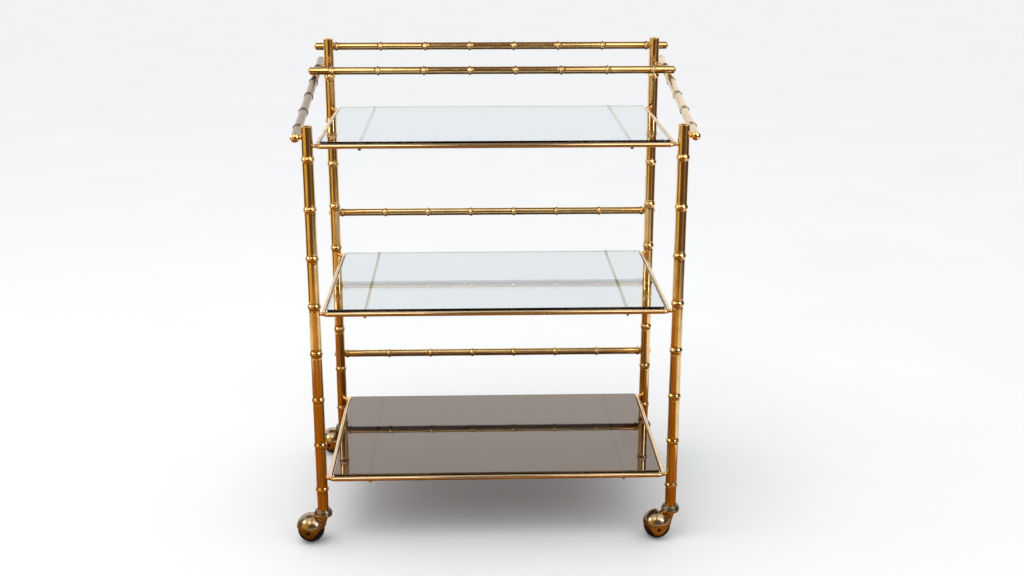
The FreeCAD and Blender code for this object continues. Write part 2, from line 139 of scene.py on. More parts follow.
WIDE_LAMP_SIZE = (0.9, 1.2)

# Where the photo was taken from: the place over the floor from the middle of the posts, and the turn
CAMERA_OFFSET = Vector((-0.0408, -2.3649, 1.1141))
CAMERA_TURN = (math.radians(73.449), 0, math.radians(-1.767))
FILM_WIDTH = 36.0


# Properties

def length(name, description, millimetres):
    """A length property with its default in millimetres."""
    return bpy.props.FloatProperty(
        name=name, description=description, default=millimetres * MM, unit="LENGTH")


def angle(name, description, degrees):
    """An angle property with its default in degrees."""
    return bpy.props.FloatProperty(
        name=name, description=description, default=math.radians(degrees), subtype="ANGLE")


def number(name, description, default, unit="NONE"):
    """A number property, with a unit or without one."""
    return bpy.props.FloatProperty(name=name, description=description, default=default, unit=unit)


def colour(name, description, red, green, blue):
    """A linear colour property."""
    return bpy.props.FloatVectorProperty(
        name=name, description=description, default=(red, green, blue), subtype="COLOR", size=3, min=0, max=1)


class CartSizes(bpy.types.PropertyGroup):
    """Sizes of the cart's tube, rod, glass and casters."""
    post_radius: length("Post radius", "Outside radius of the posts", 9.5)
    post_ring_rise: length("Post ring rise", "How far a ring stands out of a post", 1.6)
    post_ring_half: length("Post ring half width", "Half the width of a ring on a post", 4.5)
    post_first_ring: length("First post ring", "Height of the lowest ring above the foot of a post", 39.2)
    post_ring_pitch: length("Post ring pitch", "Distance between the rings of a post", 84.5)
    rail_radius: length("Rail radius", "Outside radius of the rails", 7.0)
    rail_ring_rise: length("Rail ring rise", "How far a ring stands out of a rail", 1.4)
    rail_ring_half: length("Rail ring half width", "Half the width of a ring on a rail", 3.0)
    rail_ring_pitch: length("Rail ring pitch", "Distance between the rings of a long rail", 84.9)
    side_first_ring: length("First side rail ring", "First ring from the front of a side rail", 46.9)
    side_ring_pitch: length("Side rail ring pitch", "Distance between the rings of a side rail", 84.5)
    side_slope: angle("Side rail slope", "How far the side rails rise to the back", 9.7)
    neck_width: length("Neck width", "Width of the shallow neck beside a ring", 2.4)
    neck_depth: length("Neck depth", "Depth of the neck beside a ring", 0.4)
    ring_flare: length("Ring flare", "How far the tube swells towards a ring", 0.35)
    cap_rim: length("Cap rim", "How far a tube cap stands out of its tube", 0.5)
    cap_skirt: length("Cap skirt", "Height of the straight edge of a tube cap", 1.0)
    post_cap_dome: length("Post cap dome", "Height of the dome of a post cap", 2.2)
    rail_cap_dome: length("Rail cap dome", "Height of the dome of a rail cap", 4.0)
    rod_radius: length("Shelf rod radius", "Radius of the bent rod round a shelf", 4.0)
    rod_corner: length("Shelf corner radius", "Bend radius at the middle of the rod", 10.0)
    stub_radius: length("Stub radius", "Radius of the stubs between posts and rails", 4.0)
    pin_radius: length("Corner pin radius", "Radius of the pins at the shelf corners", 3.0)
    glass_corner: length("Glass corner radius", "Radius of the corners of the panes", 5.0)
    glass_arris: length("Glass arris", "Width of the ground edge of the panes", 0.7)
    hood_radius: length("Hood radius", "Outside radius of the caster hoods", 25.4)
    hood_wall: length("Hood wall", "Wall of the caster hoods", 1.3)
    hood_lift: length("Hood lift", "Height of a hood's centre above its axle", 3.2)
    hood_rim: length("Hood rim rounding", "Rounding of the rim of a hood", 0.35)
    fender: length("Fender line", "Height of a hood's lower rim above its axle", 4.5)
    ear_tip_radius: length("Ear tip radius", "Radius of the tip of an ear", 8.5)
    ear_tip_drop: length("Ear tip drop", "Depth of the middle of an ear's tip below the axle", 5.5)
    ear_lean: angle("Ear lean", "How far the flanks of an ear lean out", 40)
    wheel_radius: length("Wheel radius", "Radius of the ball wheels", 23.8)
    tyre_half: length("Tyre half width", "Half the width of a tyre between its flat sides", 15.4)
    core_radius: length("Wheel core radius", "Radius of the core inside a tyre", 9.0)
    core_half: length("Wheel core half width", "Half the width of a wheel core", 14.4)
    axle_radius: length("Axle radius", "Radius of the wheel axles", 3.5)
    boss_wall: length("Axle boss wall", "Wall of the bosses that hold an axle", 2.5)
    boss_inner: length("Axle boss end", "Distance of a boss's inner end from the wheel's middle", 16.9)
    running_gap: length("Running gap", "Gap between an axle and its wheel", 0.05)
    neck_foot_radius: length("Neck foot radius", "Radius of a caster's neck where it starts", 3.5)
    neck_top_radius: length("Neck top radius", "Radius of a caster's neck under its collar", 9.5)
    neck_foot: length("Neck foot", "Height of the foot of a neck above its axle", 6.0)
    swivel_flange: length("Swivel flange", "Height of the collar on top of a neck", 4.0)
    swivel_radius: length("Swivel flange radius", "Radius of the collar on top of a neck", 15.5)
    swivel_round: length("Swivel flange rounding", "Rounding of the collar on top of a neck", 0.8)
    swivel_gap: length("Swivel gap", "Gap between a caster and its socket", 0.3)
    socket_flange: length("Socket flange", "Height of the collar under a post", 7.5)
    socket_top_radius: length("Socket top radius", "Radius of the collar where it meets the post", 13.0)
    collar_round: length("Collar rounding", "Rounding of the collars under the posts", 1.0)


class CartFinish(bpy.types.PropertyGroup):
    """Colours of the cart's metal, glass and rubber."""
    brass: colour("Brass", "Clean brass of posts and rails", 0.87, 0.58, 0.25)
    tarnish: colour("Tarnish", "Brass that has gone dull", 0.42, 0.24, 0.09)
    # Painted shade: darker brass laid on the underside of the long rails.
    underside: colour("Underside", "Dark brass under the rails", 0.20, 0.125, 0.055)
    rod: colour("Rod brass", "Clean brass of the shelf rods", 0.88, 0.65, 0.38)
    rod_tarnish: colour("Rod tarnish", "Dull brass of the shelf rods", 0.45, 0.30, 0.15)
    # The two side rails differ in tone: the left is given darker brass, the right paler brass.
    left_rail_colour: colour("Left rail brass", "Left side rail, gone dull", 0.38, 0.30, 0.22)
    right_rail_colour: colour("Right rail brass", "Right side rail and thin rods, worn pale", 0.84, 0.68, 0.46)
    # Brown tarnish on the side rails and thin rods; on the underside of the side rails it is also painted
    # shade.
    rail_tarnish_and_shade: colour("Worn tarnish", "Brown film on the worn pieces", 0.30, 0.21, 0.12)
    pewter: colour("Caster metal", "Worn metal of the casters", 0.66, 0.49, 0.31)
    pewter_tarnish: colour("Caster tarnish", "Dull metal of the casters", 0.19, 0.14, 0.09)
    collar: colour("Collar metal", "Grey metal of the collars under the posts", 0.26, 0.22, 0.17)
    collar_tarnish: colour("Collar tarnish", "Dull metal of the collars", 0.12, 0.10, 0.08)
    # Partly painted shade: the steel is darker than plain steel so that the axle holes look shaded.
    steel: colour("Steel", "Stems and axles", 0.06, 0.055, 0.05)
    steel_stain: colour("Steel stain", "Dull steel", 0.03, 0.027, 0.025)
    rubber: colour("Rubber", "Tyres", 0.006, 0.0055, 0.005)
    tyre_dust: colour("Tyre dust", "Scuffs on the tyres", 0.018, 0.016, 0.014)
    upper_glass: colour("Upper glass", "Tint of the top and middle panes", 0.74, 0.78, 0.79)
    # Painted shade: the bottom pane is tinted much darker than the upper panes to stand for the shaded floor
    # under the cart.
    lower_glass: colour("Lower glass", "Tint of the bottom pane", 0.05, 0.045, 0.04)
    lower_sheen: colour("Lower sheen", "Colour that the bottom pane mirrors", 1.0, 0.78, 0.62)
    upper_index: number("Upper glass index", "Refractive index of the top and middle panes", 1.5)
    lower_index: number("Lower glass index", "Refractive index of the bottom pane, which mirrors more", 2.5)


class CartStage(bpy.types.PropertyGroup):
    """Floor, light and camera."""
    floor: colour("Floor", "Pale floor", 0.88, 0.88, 0.875)
    dark_card: colour("Dark card", "Brown cards that the metal mirrors", 0.10, 0.07, 0.05)
    brown_card: colour("Brown card", "Lighter brown cards to the right and overhead", 0.30, 0.21, 0.18)
    amber_card: colour("Amber card", "Yellow card that the posts mirror as a streak", 0.85, 0.54, 0.09)
    warm_card: colour("Warm card", "Orange card near the floor under the cart", 0.30, 0.115, 0.008)
    far_card: colour("Far card", "Orange card farther out on the floor", 0.53, 0.29, 0.08)
    sky_colour: colour("Sky colour", "Colour of the even light", 0.97, 0.985, 1.0)
    sky: number("Sky light", "Strength of the even light", 1.03)
    key_power: number("Key lamp", "Power of the lamp overhead", 20.0, "POWER")
    glint_power: number("Glint lamps", "Power of each of the two small lamps", 6.0, "POWER")
    wide_colour: colour("Wide lamp colour", "Warm light of the two wide lamps", 1.0, 0.84, 0.58)
    wide_power: number("Wide lamps", "Power of each of the two wide lamps", 6.5, "POWER")
    lens: number("Lens", "Focal length on a 36 mm wide film", 46.81, "CAMERA")


# Shared helpers

made = {}


def shared(maker):
    """Make a tree or material once and hand out the same one after that."""
    if maker not in made:
        made[maker] = maker()
    return made[maker]


def box_of(node):
    """Lowest and highest corner of a CAD node as vectors."""
    low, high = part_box(node)
    return Vector(low), Vector(high)


def middle_of(node):
    """Middle of a CAD node's box."""
    low, high = box_of(node)
    return (low + high) / 2


def axis_frame(origin, direction):
    """A matrix that puts a shape built along Z at an origin, along a direction."""
    return Matrix.Translation(origin) @ direction.to_track_quat("Z", "Y").to_matrix().to_4x4()


def holder_for(mesh, name):
    """A mesh as an object in the scene."""
    holder = bpy.data.objects.new(name, mesh)
    bpy.context.scene.collection.objects.link(holder)
    return holder


def finish_piece(name, mesh, material, body, node):
    """Make a finished mesh an object that rides on a body and stands for a CAD node."""
    mesh.materials.clear()
    mesh.materials.append(material)
    piece = holder_for(mesh, name)
    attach(piece, body)
    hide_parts(node)


def smooth(mesh, sharp_angle=SHARP_ANGLE):
    """Shade a mesh smooth, and keep its corners sharp."""
    mesh.polygons.foreach_set("use_smooth", [True] * len(mesh.polygons))
    mesh.set_sharp_from_angle(angle=sharp_angle)
    return mesh


def mesh_from(bm, name, sharp_angle=SHARP_ANGLE):
    """A smooth mesh from a bmesh, with its faces turned outward."""
    bmesh.ops.recalc_face_normals(bm, faces=bm.faces)
    mesh = bpy.data.meshes.new(name)
    bm.to_mesh(mesh)
    bm.free()
    return smooth(mesh, sharp_angle)


def lathe(profile, place=Matrix(), segments=FITTING_SEGMENTS):
    """Turn a profile of (radius, height) points about Z and put it in place. Points on the axis close it."""
    bm = bmesh.new()
    turns = [2 * math.pi * i / segments for i in range(segments)]
    rows = []
    for radius, height in profile:
        if radius < ON_AXIS:
            rows.append([bm.verts.new((0, 0, height))])
        else:
            rows.append([bm.verts.new((radius * math.cos(t), radius * math.sin(t), height)) for t in turns])
    for lower, upper in zip(rows, rows[1:]):
        if len(lower) == 1 and len(upper) == 1:
            continue
        for i in range(segments):
            j = (i + 1) % segments
            below = [lower[i % len(lower)], lower[j % len(lower)]]
            above = [upper[j % len(upper)], upper[i % len(upper)]]
            bm.faces.new(list(dict.fromkeys(below + above)))
    bm.transform(place)
    return bm


def rounded(profile, radius, steps=4):
    """Round the corners of a profile of points, apart from its ends."""
    points = [Vector((r, h, 0)) for r, h in profile]
    out = [points[0]]
    for before, corner, after in zip(points, points[1:], points[2:]):
        back = before - corner
        ahead = after - corner
        reach = min(radius, back.length / 2, ahead.length / 2)
        start = corner + back.normalized() * reach
        end = corner + ahead.normalized() * reach
        for i in range(steps + 1):
            t = i / steps
            out.append(start.lerp(corner, t).lerp(corner.lerp(end, t), t))
    out.append(points[-1])
    return [(p.x, p.y) for p in out]


def joined(*parts):
    """One bmesh from several."""
    whole = bmesh.new()
    for part in parts:
        scratch = bpy.data.meshes.new("scratch")
        part.to_mesh(scratch)
        part.free()
        whole.from_mesh(scratch)
        bpy.data.meshes.remove(scratch)
    return whole


def plain_mesh(holder, name):
    """The evaluated mesh of an object with modifiers; the object is removed."""
    bpy.context.view_layer.update()
    graph = bpy.context.evaluated_depsgraph_get()
    mesh = bpy.data.meshes.new_from_object(holder.evaluated_get(graph))
    mesh.name = name
    bpy.data.objects.remove(holder)
    return mesh


# Node trees

class TreeMaker:
    """Adds and joins the nodes of one tree."""

    def __init__(self, tree):
        self.tree = tree

    def feed(self, socket, value):
        """Link a socket to another one, or set its value."""
        if isinstance(value, bpy.types.NodeSocket):
            self.tree.links.new(value, socket)
        else:
            socket.default_value = value

    def node(self, kind, settings=None, **inputs):
        """Add a node; an input is named in lower case with _ for a space."""
        node = self.tree.nodes.new(kind)
        for key, value in (settings or {}).items():
            setattr(node, key, value)
        for key, value in inputs.items():
            label = key.replace("_", " ").lower()
            socket = next(s for s in node.inputs if s.name.lower() == label and s.enabled)
            self.feed(socket, value)
        return node

    def worked(self, kind, operation, values):
        """The outputs of a node that works on values in their order."""
        node = self.node(kind, {"operation": operation})
        for socket, value in zip(node.inputs, values):
            self.feed(socket, value)
        return node.outputs

    def calc(self, operation, *values):
        """The result of a step of arithmetic."""
        return self.worked("ShaderNodeMath", operation, values)[0]

    def vector(self, operation, *values):
        """The result of a step of vector arithmetic."""
        outputs = self.worked("ShaderNodeVectorMath", operation, values)
        return outputs["Value" if operation == "LENGTH" else "Vector"]

    def scaled(self, vector, factor):
        """A vector or colour times a number."""
        node = self.node("ShaderNodeVectorMath", {"operation": "SCALE"})
        self.feed(node.inputs["Vector"], vector)
        self.feed(node.inputs["Scale"], factor)
        return node.outputs["Vector"]

    def hump(self, value):
        """One less the square of a value, and never below zero: a round hump between -1 and 1."""
        return self.calc("MAXIMUM", self.calc("SUBTRACT", 1, self.calc("POWER", value, 2)), 0)

    def stored(self, geometry, name, value):
        """The geometry with a value stored on its points."""
        node = self.node("GeometryNodeStoreNamedAttribute", {"data_type": "FLOAT", "domain": "POINT"},
                         geometry=geometry, name=name, value=value)
        return node.outputs[0]

    def noise(self, scale, detail, roughness=0.5):
        """Noise in the piece's own coordinates."""
        place = self.node("ShaderNodeTexCoord").outputs["Object"]
        node = self.node("ShaderNodeTexNoise", vector=place, scale=scale, detail=detail, roughness=roughness)
        return node.outputs[0]

    def spread(self, value, low=0.0, high=1.0, to_low=0.0, to_high=1.0):
        """A value moved from one range to another, and held inside it."""
        node = self.node("ShaderNodeMapRange", value=value, from_min=low, from_max=high,
                         to_min=to_low, to_max=to_high)
        return node.outputs[0]

    def mix(self, factor, first, second):
        """A colour between two colours."""
        node = self.node("ShaderNodeMix", {"data_type": "RGBA"}, factor=factor, a=first, b=second)
        return next(s for s in node.outputs if s.enabled)


def node_group(name, kind, inputs, outputs):
    """A node group with sockets named by kind, its maker and the sockets that it is given."""
    tree = bpy.data.node_groups.new(name, kind)
    for side, sockets in (("INPUT", inputs), ("OUTPUT", outputs)):
        for socket_kind, labels in sockets.items():
            for label in labels:
                tree.interface.new_socket(label, in_out=side, socket_type="NodeSocket" + socket_kind)
    return tree, TreeMaker(tree), tree.nodes.new("NodeGroupInput").outputs


def geometry_tree(name, inputs):
    """A geometry tree that takes a geometry, a material and other inputs."""
    geometry = {"Geometry": ("Geometry",)}
    return node_group(name, "GeometryNodeTree", {**geometry, "Material": ("Material",), **inputs}, geometry)


def end_tree(make, geometry, material):
    """Close a geometry tree: plain geometry with its material."""
    real = make.node("GeometryNodeRealizeInstances", geometry=geometry)
    finished = make.node("GeometryNodeSetMaterial", geometry=real.outputs[0], material=material)
    out = make.tree.nodes.new("NodeGroupOutput")
    make.feed(out.inputs[0], finished.outputs[0])


def run_tree(tree, mesh, name, values):
    """Run a geometry tree on a mesh with the given inputs and give back the plain mesh."""
    holder = holder_for(mesh, name + "_holder")
    modifier = holder.modifiers.new("nodes", "NODES")
    modifier.node_group = tree
    for item in tree.interface.items_tree:
        if item.in_out == "INPUT" and item.name in values:
            modifier[item.identifier] = values[item.name]
    return plain_mesh(holder, name)


def bamboo_tree():
    """A tube with rings: a line of points, packed close at each ring, swept with a circle."""
    tree, make, given = geometry_tree("Bamboo tube", {
        "Vector": ("Start", "End"),
        "Float": ("Radius", "Ring Rise", "Ring Half Width", "Neck Width", "Neck Depth", "Ring Flare",
                  "First Ring", "Ring Pitch"),
        "Int": ("Ring Count",),
    })
    run = make.vector("SUBTRACT", given["End"], given["Start"])
    tube_length = make.vector("LENGTH", run)
    points = make.calc("MULTIPLY", given["Ring Count"], RING_SAMPLES)
    line = make.node("GeometryNodeMeshLine", count=points)
    curve = make.node("GeometryNodeMeshToCurve", mesh=line.outputs[0])

    # Each ring has its own run of points, half a pitch to both sides of it and closest at the ring.
    index = make.node("GeometryNodeInputIndex").outputs[0]
    joint = make.calc("FLOOR", make.calc("DIVIDE", make.calc("ADD", index, 0.5), RING_SAMPLES))
    step = make.calc("SUBTRACT", index, make.calc("MULTIPLY", joint, RING_SAMPLES))
    share = make.calc("MULTIPLY_ADD", step, 2 / RING_SAMPLES, 1 / RING_SAMPLES - 1)
    bent = make.calc("MULTIPLY", share, make.calc("ABSOLUTE", share))
    off = make.calc("MULTIPLY", bent, make.calc("MULTIPLY", given["Ring Pitch"], 0.5))
    ring = make.calc("MULTIPLY_ADD", joint, given["Ring Pitch"], given["First Ring"])
    along = make.calc("MINIMUM", make.calc("MAXIMUM", make.calc("ADD", ring, off), 0), tube_length)
    # The first and last points stand at the ends of the tube.
    along = make.calc("MULTIPLY", along, make.calc("GREATER_THAN", index, 0.5))
    last = make.calc("GREATER_THAN", index, make.calc("SUBTRACT", points, 1.5))
    along = make.calc("MAXIMUM", along, make.calc("MULTIPLY", last, tube_length))

    # A round ridge at the ring, a shallow neck beside it, and a slow swell towards it.
    away = make.calc("ABSOLUTE", make.calc("SUBTRACT", along, ring))
    ridge = make.hump(make.calc("DIVIDE", away, given["Ring Half Width"]))
    half_neck = make.calc("MULTIPLY", given["Neck Width"], 0.5)
    past_ring = make.calc("SUBTRACT", away, make.calc("ADD", given["Ring Half Width"], half_neck))
    groove = make.hump(make.calc("ABSOLUTE", make.calc("DIVIDE", past_ring, half_neck)))
    swell = make.calc("EXPONENT", make.calc("MULTIPLY", away, -1 / RING_SWELL_REACH))
    thickness = make.calc("MULTIPLY_ADD", ridge, given["Ring Rise"], given["Radius"])
    thickness = make.calc("MULTIPLY_ADD", swell, given["Ring Flare"], thickness)
    thickness = make.calc("SUBTRACT", thickness, make.calc("MULTIPLY", groove, given["Neck Depth"]))

    marked = make.stored(curve.outputs[0], "crevice", groove)
    unit = make.scaled(run, make.calc("DIVIDE", 1, tube_length))
    place = make.vector("ADD", given["Start"], make.scaled(unit, along))
    laid = make.node("GeometryNodeSetPosition", geometry=marked, position=place)
    circle = make.node("GeometryNodeCurvePrimitiveCircle", resolution=TUBE_SEGMENTS, radius=1.0)
    # The thickness is read from a stored value, because its own fields move with the points.
    thick = make.stored(laid.outputs[0], "thickness", thickness)
    scale = make.node("GeometryNodeInputNamedAttribute", {"data_type": "FLOAT"}, name="thickness")
    tube = make.node("GeometryNodeCurveToMesh", curve=thick, profile_curve=circle.outputs[0],
                     scale=scale.outputs[0], fill_caps=True)
    merged = make.node("GeometryNodeMergeByDistance", geometry=tube.outputs[0], distance=TUBE_WELD)
    # Painted shade: the underside of a tube that lies flat is marked, and its material darkens it there.
    facing = make.node("ShaderNodeSeparateXYZ", vector=make.node("GeometryNodeInputNormal").outputs[0])
    rise = make.node("ShaderNodeSeparateXYZ", vector=unit)
    flatness = make.calc("SUBTRACT", 1, make.calc("ABSOLUTE", rise.outputs["Z"]))
    downward = make.calc("MAXIMUM", make.calc("MULTIPLY", facing.outputs["Z"], -1), 0)
    shade_marked = make.stored(merged.outputs[0], "underside", make.calc("MULTIPLY", downward, flatness))
    shaded = make.node("GeometryNodeSetShadeSmooth", geometry=shade_marked, shade_smooth=True)
    end_tree(make, shaded.outputs[0], given["Material"])
    return tree


def rod_loop_tree():
    """A round rod bent into a flat rectangle with rounded corners."""
    tree, make, given = geometry_tree("Bent rod", {
        "Vector": ("Centre",),
        "Float": ("Width", "Depth", "Rod Radius", "Corner Radius"),
    })
    outline = make.node("GeometryNodeCurvePrimitiveQuadrilateral",
                        width=given["Width"], height=given["Depth"])
    bent = make.node("GeometryNodeFilletCurve", {"mode": "POLY"}, curve=outline.outputs[0],
                     count=ROD_CORNER_STEPS, radius=given["Corner Radius"], limit_radius=True)
    circle = make.node("GeometryNodeCurvePrimitiveCircle", resolution=ROD_SEGMENTS,
                       radius=given["Rod Radius"])
    rod = make.node("GeometryNodeCurveToMesh", curve=bent.outputs[0], profile_curve=circle.outputs[0])
    placed = make.node("GeometryNodeSetPosition", geometry=rod.outputs[0], offset=given["Centre"])
    shaded = make.node("GeometryNodeSetShadeSmooth", geometry=placed.outputs[0], shade_smooth=True)
    end_tree(make, shaded.outputs[0], given["Material"])
    return tree


def fitting_tree():
    """One small fitting on each point of a mesh, turned to the point's own direction."""
    tree, make, given = geometry_tree("Fittings", {"Object": ("Fitting",)})
    fitting = make.node("GeometryNodeObjectInfo", object=given["Fitting"])
    direction = make.node("GeometryNodeInputNamedAttribute", {"data_type": "FLOAT_VECTOR"}, name="direction")
    turned = make.node("FunctionNodeAlignRotationToVector", {"axis": "Z"}, vector=direction.outputs[0])
    points = make.node("GeometryNodeMeshToPoints", mesh=given["Geometry"])
    placed = make.node("GeometryNodeInstanceOnPoints", points=points.outputs[0],
                       instance=fitting.outputs["Geometry"], rotation=turned.outputs[0])
    end_tree(make, placed.outputs[0], given["Material"])
    return tree


def fit_to_frame(name, profile, places, material, node):
    """Turn a fitting on the lathe and set it at each (point, direction) of the frame, all in one piece."""
    spots = bpy.data.meshes.new(name + "_spots")
    spots.from_pydata([point for point, _ in places], [], [])
    directions = spots.attributes.new("direction", "FLOAT_VECTOR", "POINT")
    for spot, (_, direction) in zip(directions.data, places):
        spot.vector = direction
    pattern = holder_for(mesh_from(lathe(profile), name + "_pattern"), name + "_pattern")
    mesh = run_tree(shared(fitting_tree), spots, name, {"Fitting": pattern, "Material": material})
    bpy.data.objects.remove(pattern)
    finish_piece(name, mesh, material, "frame", node)


# Materials

def patina_group():
    """Blotches, fine grain and dark specks of old polished metal."""
    tree, make, given = node_group(
        "Patina", "ShaderNodeTree",
        {"Color": ("Clean", "Dull"), "Float": ("Amount", "Smooth", "Rough", "Crevice")},
        {"Color": ("Color",), "Float": ("Roughness", "Height")})
    blotch = make.spread(make.noise(scale=26.0, detail=5.0, roughness=0.62), 0.42, 0.72)
    speck = make.spread(make.noise(scale=900.0, detail=1.0), 0.66, 0.74)
    grain = make.noise(scale=420.0, detail=3.0, roughness=0.6)
    dull = make.calc("MULTIPLY", blotch, given["Amount"])
    dull = make.calc("MULTIPLY_ADD", speck, make.calc("MULTIPLY", given["Amount"], 0.8), dull)
    dull = make.calc("ADD", dull, make.calc("MULTIPLY", given["Crevice"], 0.75))
    dull = make.calc("MINIMUM", dull, 1.0)
    uneven = make.calc("MULTIPLY_ADD", grain, 0.35, make.calc("MULTIPLY", dull, 0.8))
    out = tree.nodes.new("NodeGroupOutput").inputs
    make.feed(out["Color"], make.mix(dull, given["Clean"], given["Dull"]))
    make.feed(out["Roughness"], make.spread(uneven, 0.1, 1.0, given["Smooth"], given["Rough"]))
    make.feed(out["Height"], make.calc("MULTIPLY_ADD", dull, -0.4, grain))
    return tree


def new_material(name):
    """An empty node material, its maker and the inputs of its Principled shader."""
    material = bpy.data.materials.new(name)
    material.use_nodes = True
    shader = next(n for n in material.node_tree.nodes if n.type == "BSDF_PRINCIPLED")
    return material, TreeMaker(material.node_tree), shader.inputs


def opaque(rgb):
    """A colour with full alpha."""
    return (*rgb, 1.0)


def metal(name, clean, dull, amount, smoothest, roughest, bump, underside=None):
    """Polished metal with patina; a tube is also dull in its crevices, and darker on its underside with
    painted shade.
    """
    material, make, shader = new_material(name)
    group = make.node("ShaderNodeGroup", {"node_tree": shared(patina_group)},
                      clean=opaque(clean), dull=opaque(dull), amount=amount, smooth=smoothest, rough=roughest)
    surface = group.outputs["Color"]
    if underside:
        crevice = make.node("ShaderNodeAttribute", {"attribute_name": "crevice"})
        make.feed(group.inputs["Crevice"], crevice.outputs["Fac"])
        # Painted shade: the downward-facing side of a lying tube is mixed towards this darker colour.
        below = make.node("ShaderNodeAttribute", {"attribute_name": "underside"})
        surface = make.mix(make.spread(below.outputs["Fac"], 0.05, 0.6), surface, opaque(underside))
    relief = make.node("ShaderNodeBump", strength=bump, distance=METAL_RELIEF, height=group.outputs["Height"])
    shader["Metallic"].default_value = 1.0
    make.feed(shader["Base Color"], surface)
    make.feed(shader["Roughness"], group.outputs["Roughness"])
    make.feed(shader["Normal"], relief.outputs[0])
    return material


def tube_brass():
    """Golden brass of the posts and the long rails."""
    finish = bpy.context.scene.cart_finish
    # The underside colour is painted shade under the long rails.
    return metal("Tube brass", finish.brass, finish.tarnish,
                 amount=0.45, smoothest=0.10, roughest=0.34, bump=0.10, underside=finish.underside)


def dull_brass():
    """Darker brass of the left side rail."""
    finish = bpy.context.scene.cart_finish
    # The underside of the left side rail is darkened with painted shade.
    return metal("Left rail brass", finish.left_rail_colour, finish.rail_tarnish_and_shade,
                 amount=0.35, smoothest=0.16, roughest=0.36, bump=0.06, underside=finish.rail_tarnish_and_shade)


def pale_brass():
    """Pale brass of the right side rail and the thin rods."""
    finish = bpy.context.scene.cart_finish
    # The underside of the right side rail is darkened with painted shade.
    return metal("Right rail brass", finish.right_rail_colour, finish.rail_tarnish_and_shade,
                 amount=0.20, smoothest=0.16, roughest=0.36, bump=0.06, underside=finish.rail_tarnish_and_shade)


def rod_brass():
    """Brass of the bent shelf rods."""
    finish = bpy.context.scene.cart_finish
    return metal("Rod brass", finish.rod, finish.rod_tarnish,
                 amount=0.30, smoothest=0.14, roughest=0.36, bump=0.10)


def caster_brass():
    """Tarnished metal of the caster hoods and wheel cores."""
    finish = bpy.context.scene.cart_finish
    return metal("Caster metal", finish.pewter, finish.pewter_tarnish,
                 amount=0.75, smoothest=0.14, roughest=0.36, bump=0.20)


def collar_metal():
    """Grey metal of the collars under the posts."""
    finish = bpy.context.scene.cart_finish
    return metal("Collar metal", finish.collar, finish.collar_tarnish,
                 amount=0.70, smoothest=0.28, roughest=0.55, bump=0.20)


def steel():
    """Dark steel of the stems and axles; the axle ends are made extra dark to paint the shade inside the axle
    holes.
    """
    finish = bpy.context.scene.cart_finish
    return metal("Plain steel", finish.steel, finish.steel_stain,
                 amount=0.4, smoothest=0.30, roughest=0.50, bump=0.20)


def rubber():
    """Black rubber with a scuffed, dusty tread."""
    material, make, shader = new_material("Tyre rubber")
    finish = bpy.context.scene.cart_finish
    scuff = make.noise(scale=90.0, detail=5.0, roughness=0.65)
    worn = make.spread(scuff, 0.45, 0.8)
    fine = make.noise(scale=1400.0, detail=2.0)
    relief = make.node("ShaderNodeBump", strength=0.25, distance=RUBBER_RELIEF, height=fine)
    make.feed(shader["Base Color"], make.mix(worn, opaque(finish.rubber), opaque(finish.tyre_dust)))
    make.feed(shader["Roughness"], make.spread(scuff, to_low=0.45, to_high=0.75))
    shader["Specular IOR Level"].default_value = 0.2
    make.feed(shader["Normal"], relief.outputs[0])
    return material


def smoked_glass(name, tint, index, sheen=(1.0, 1.0, 1.0)):
    """Polished smoked glass with faint smears."""
    material, make, shader = new_material(name)
    smear = make.noise(scale=9.0, detail=6.0, roughness=0.7)
    shade = make.spread(smear, 0.3, 0.7, 0.97, 1.0)
    make.feed(shader["Base Color"], make.scaled(tuple(tint), shade))
    make.feed(shader["Roughness"], make.spread(smear, 0.5, 0.8, 0.0, 0.03))
    shader["Transmission Weight"].default_value = 1.0
    shader["IOR"].default_value = index
    shader["Specular Tint"].default_value = opaque(sheen)
    return material


def upper_glass():
    """Pale grey glass of the top and middle panes."""
    finish = bpy.context.scene.cart_finish
    return smoked_glass("Upper smoked glass", finish.upper_glass, finish.upper_index)


def lower_glass():
    """Dark glass of the bottom pane; part of its darkness is painted shade of the floor under the cart, seen
    through the pane.
    """
    finish = bpy.context.scene.cart_finish
    return smoked_glass("Lower smoked glass", finish.lower_glass, finish.lower_index, finish.lower_sheen)


# Posts and rails

def bamboo_piece(node, start, end, radius, rings, material):
    """Build one bamboo-look tube between two points, with rings given by the tree's inputs."""
    sizes = bpy.context.scene.cart_sizes
    values = {
        "Start": start,
        "End": end,
        "Radius": radius,
        "Neck Width": sizes.neck_width,
        "Neck Depth": sizes.neck_depth,
        "Ring Flare": sizes.ring_flare,
        "Material": material,
        **rings,
    }
    name = node + "_tube"
    seed = bpy.data.meshes.new(name + "_seed")
    mesh = run_tree(shared(bamboo_tree), seed, name, values)
    finish_piece(name, mesh, material, "frame", node)


def post_ends(corner):
    """Foot and head of a post on its axis."""
    low, high = box_of(corner + "_post")
    middle = (low + high) / 2
    return Vector((middle.x, middle.y, low.z)), Vector((middle.x, middle.y, high.z))


def rail_ends(rail):
    """Both ends of a rail on its axis, from front to back or from left to right."""
    sizes = bpy.context.scene.cart_sizes
    low, high = box_of(rail)
    middle = (low + high) / 2
    if rail in LONG_RAILS:
        return Vector((low.x, middle.y, middle.z)), Vector((high.x, middle.y, middle.z))
    side = sizes.rail_radius * math.sin(sizes.side_slope)
    up = sizes.rail_radius * math.cos(sizes.side_slope)
    return Vector((middle.x, low.y + side, low.z + up)), Vector((middle.x, high.y - side, high.z - up))


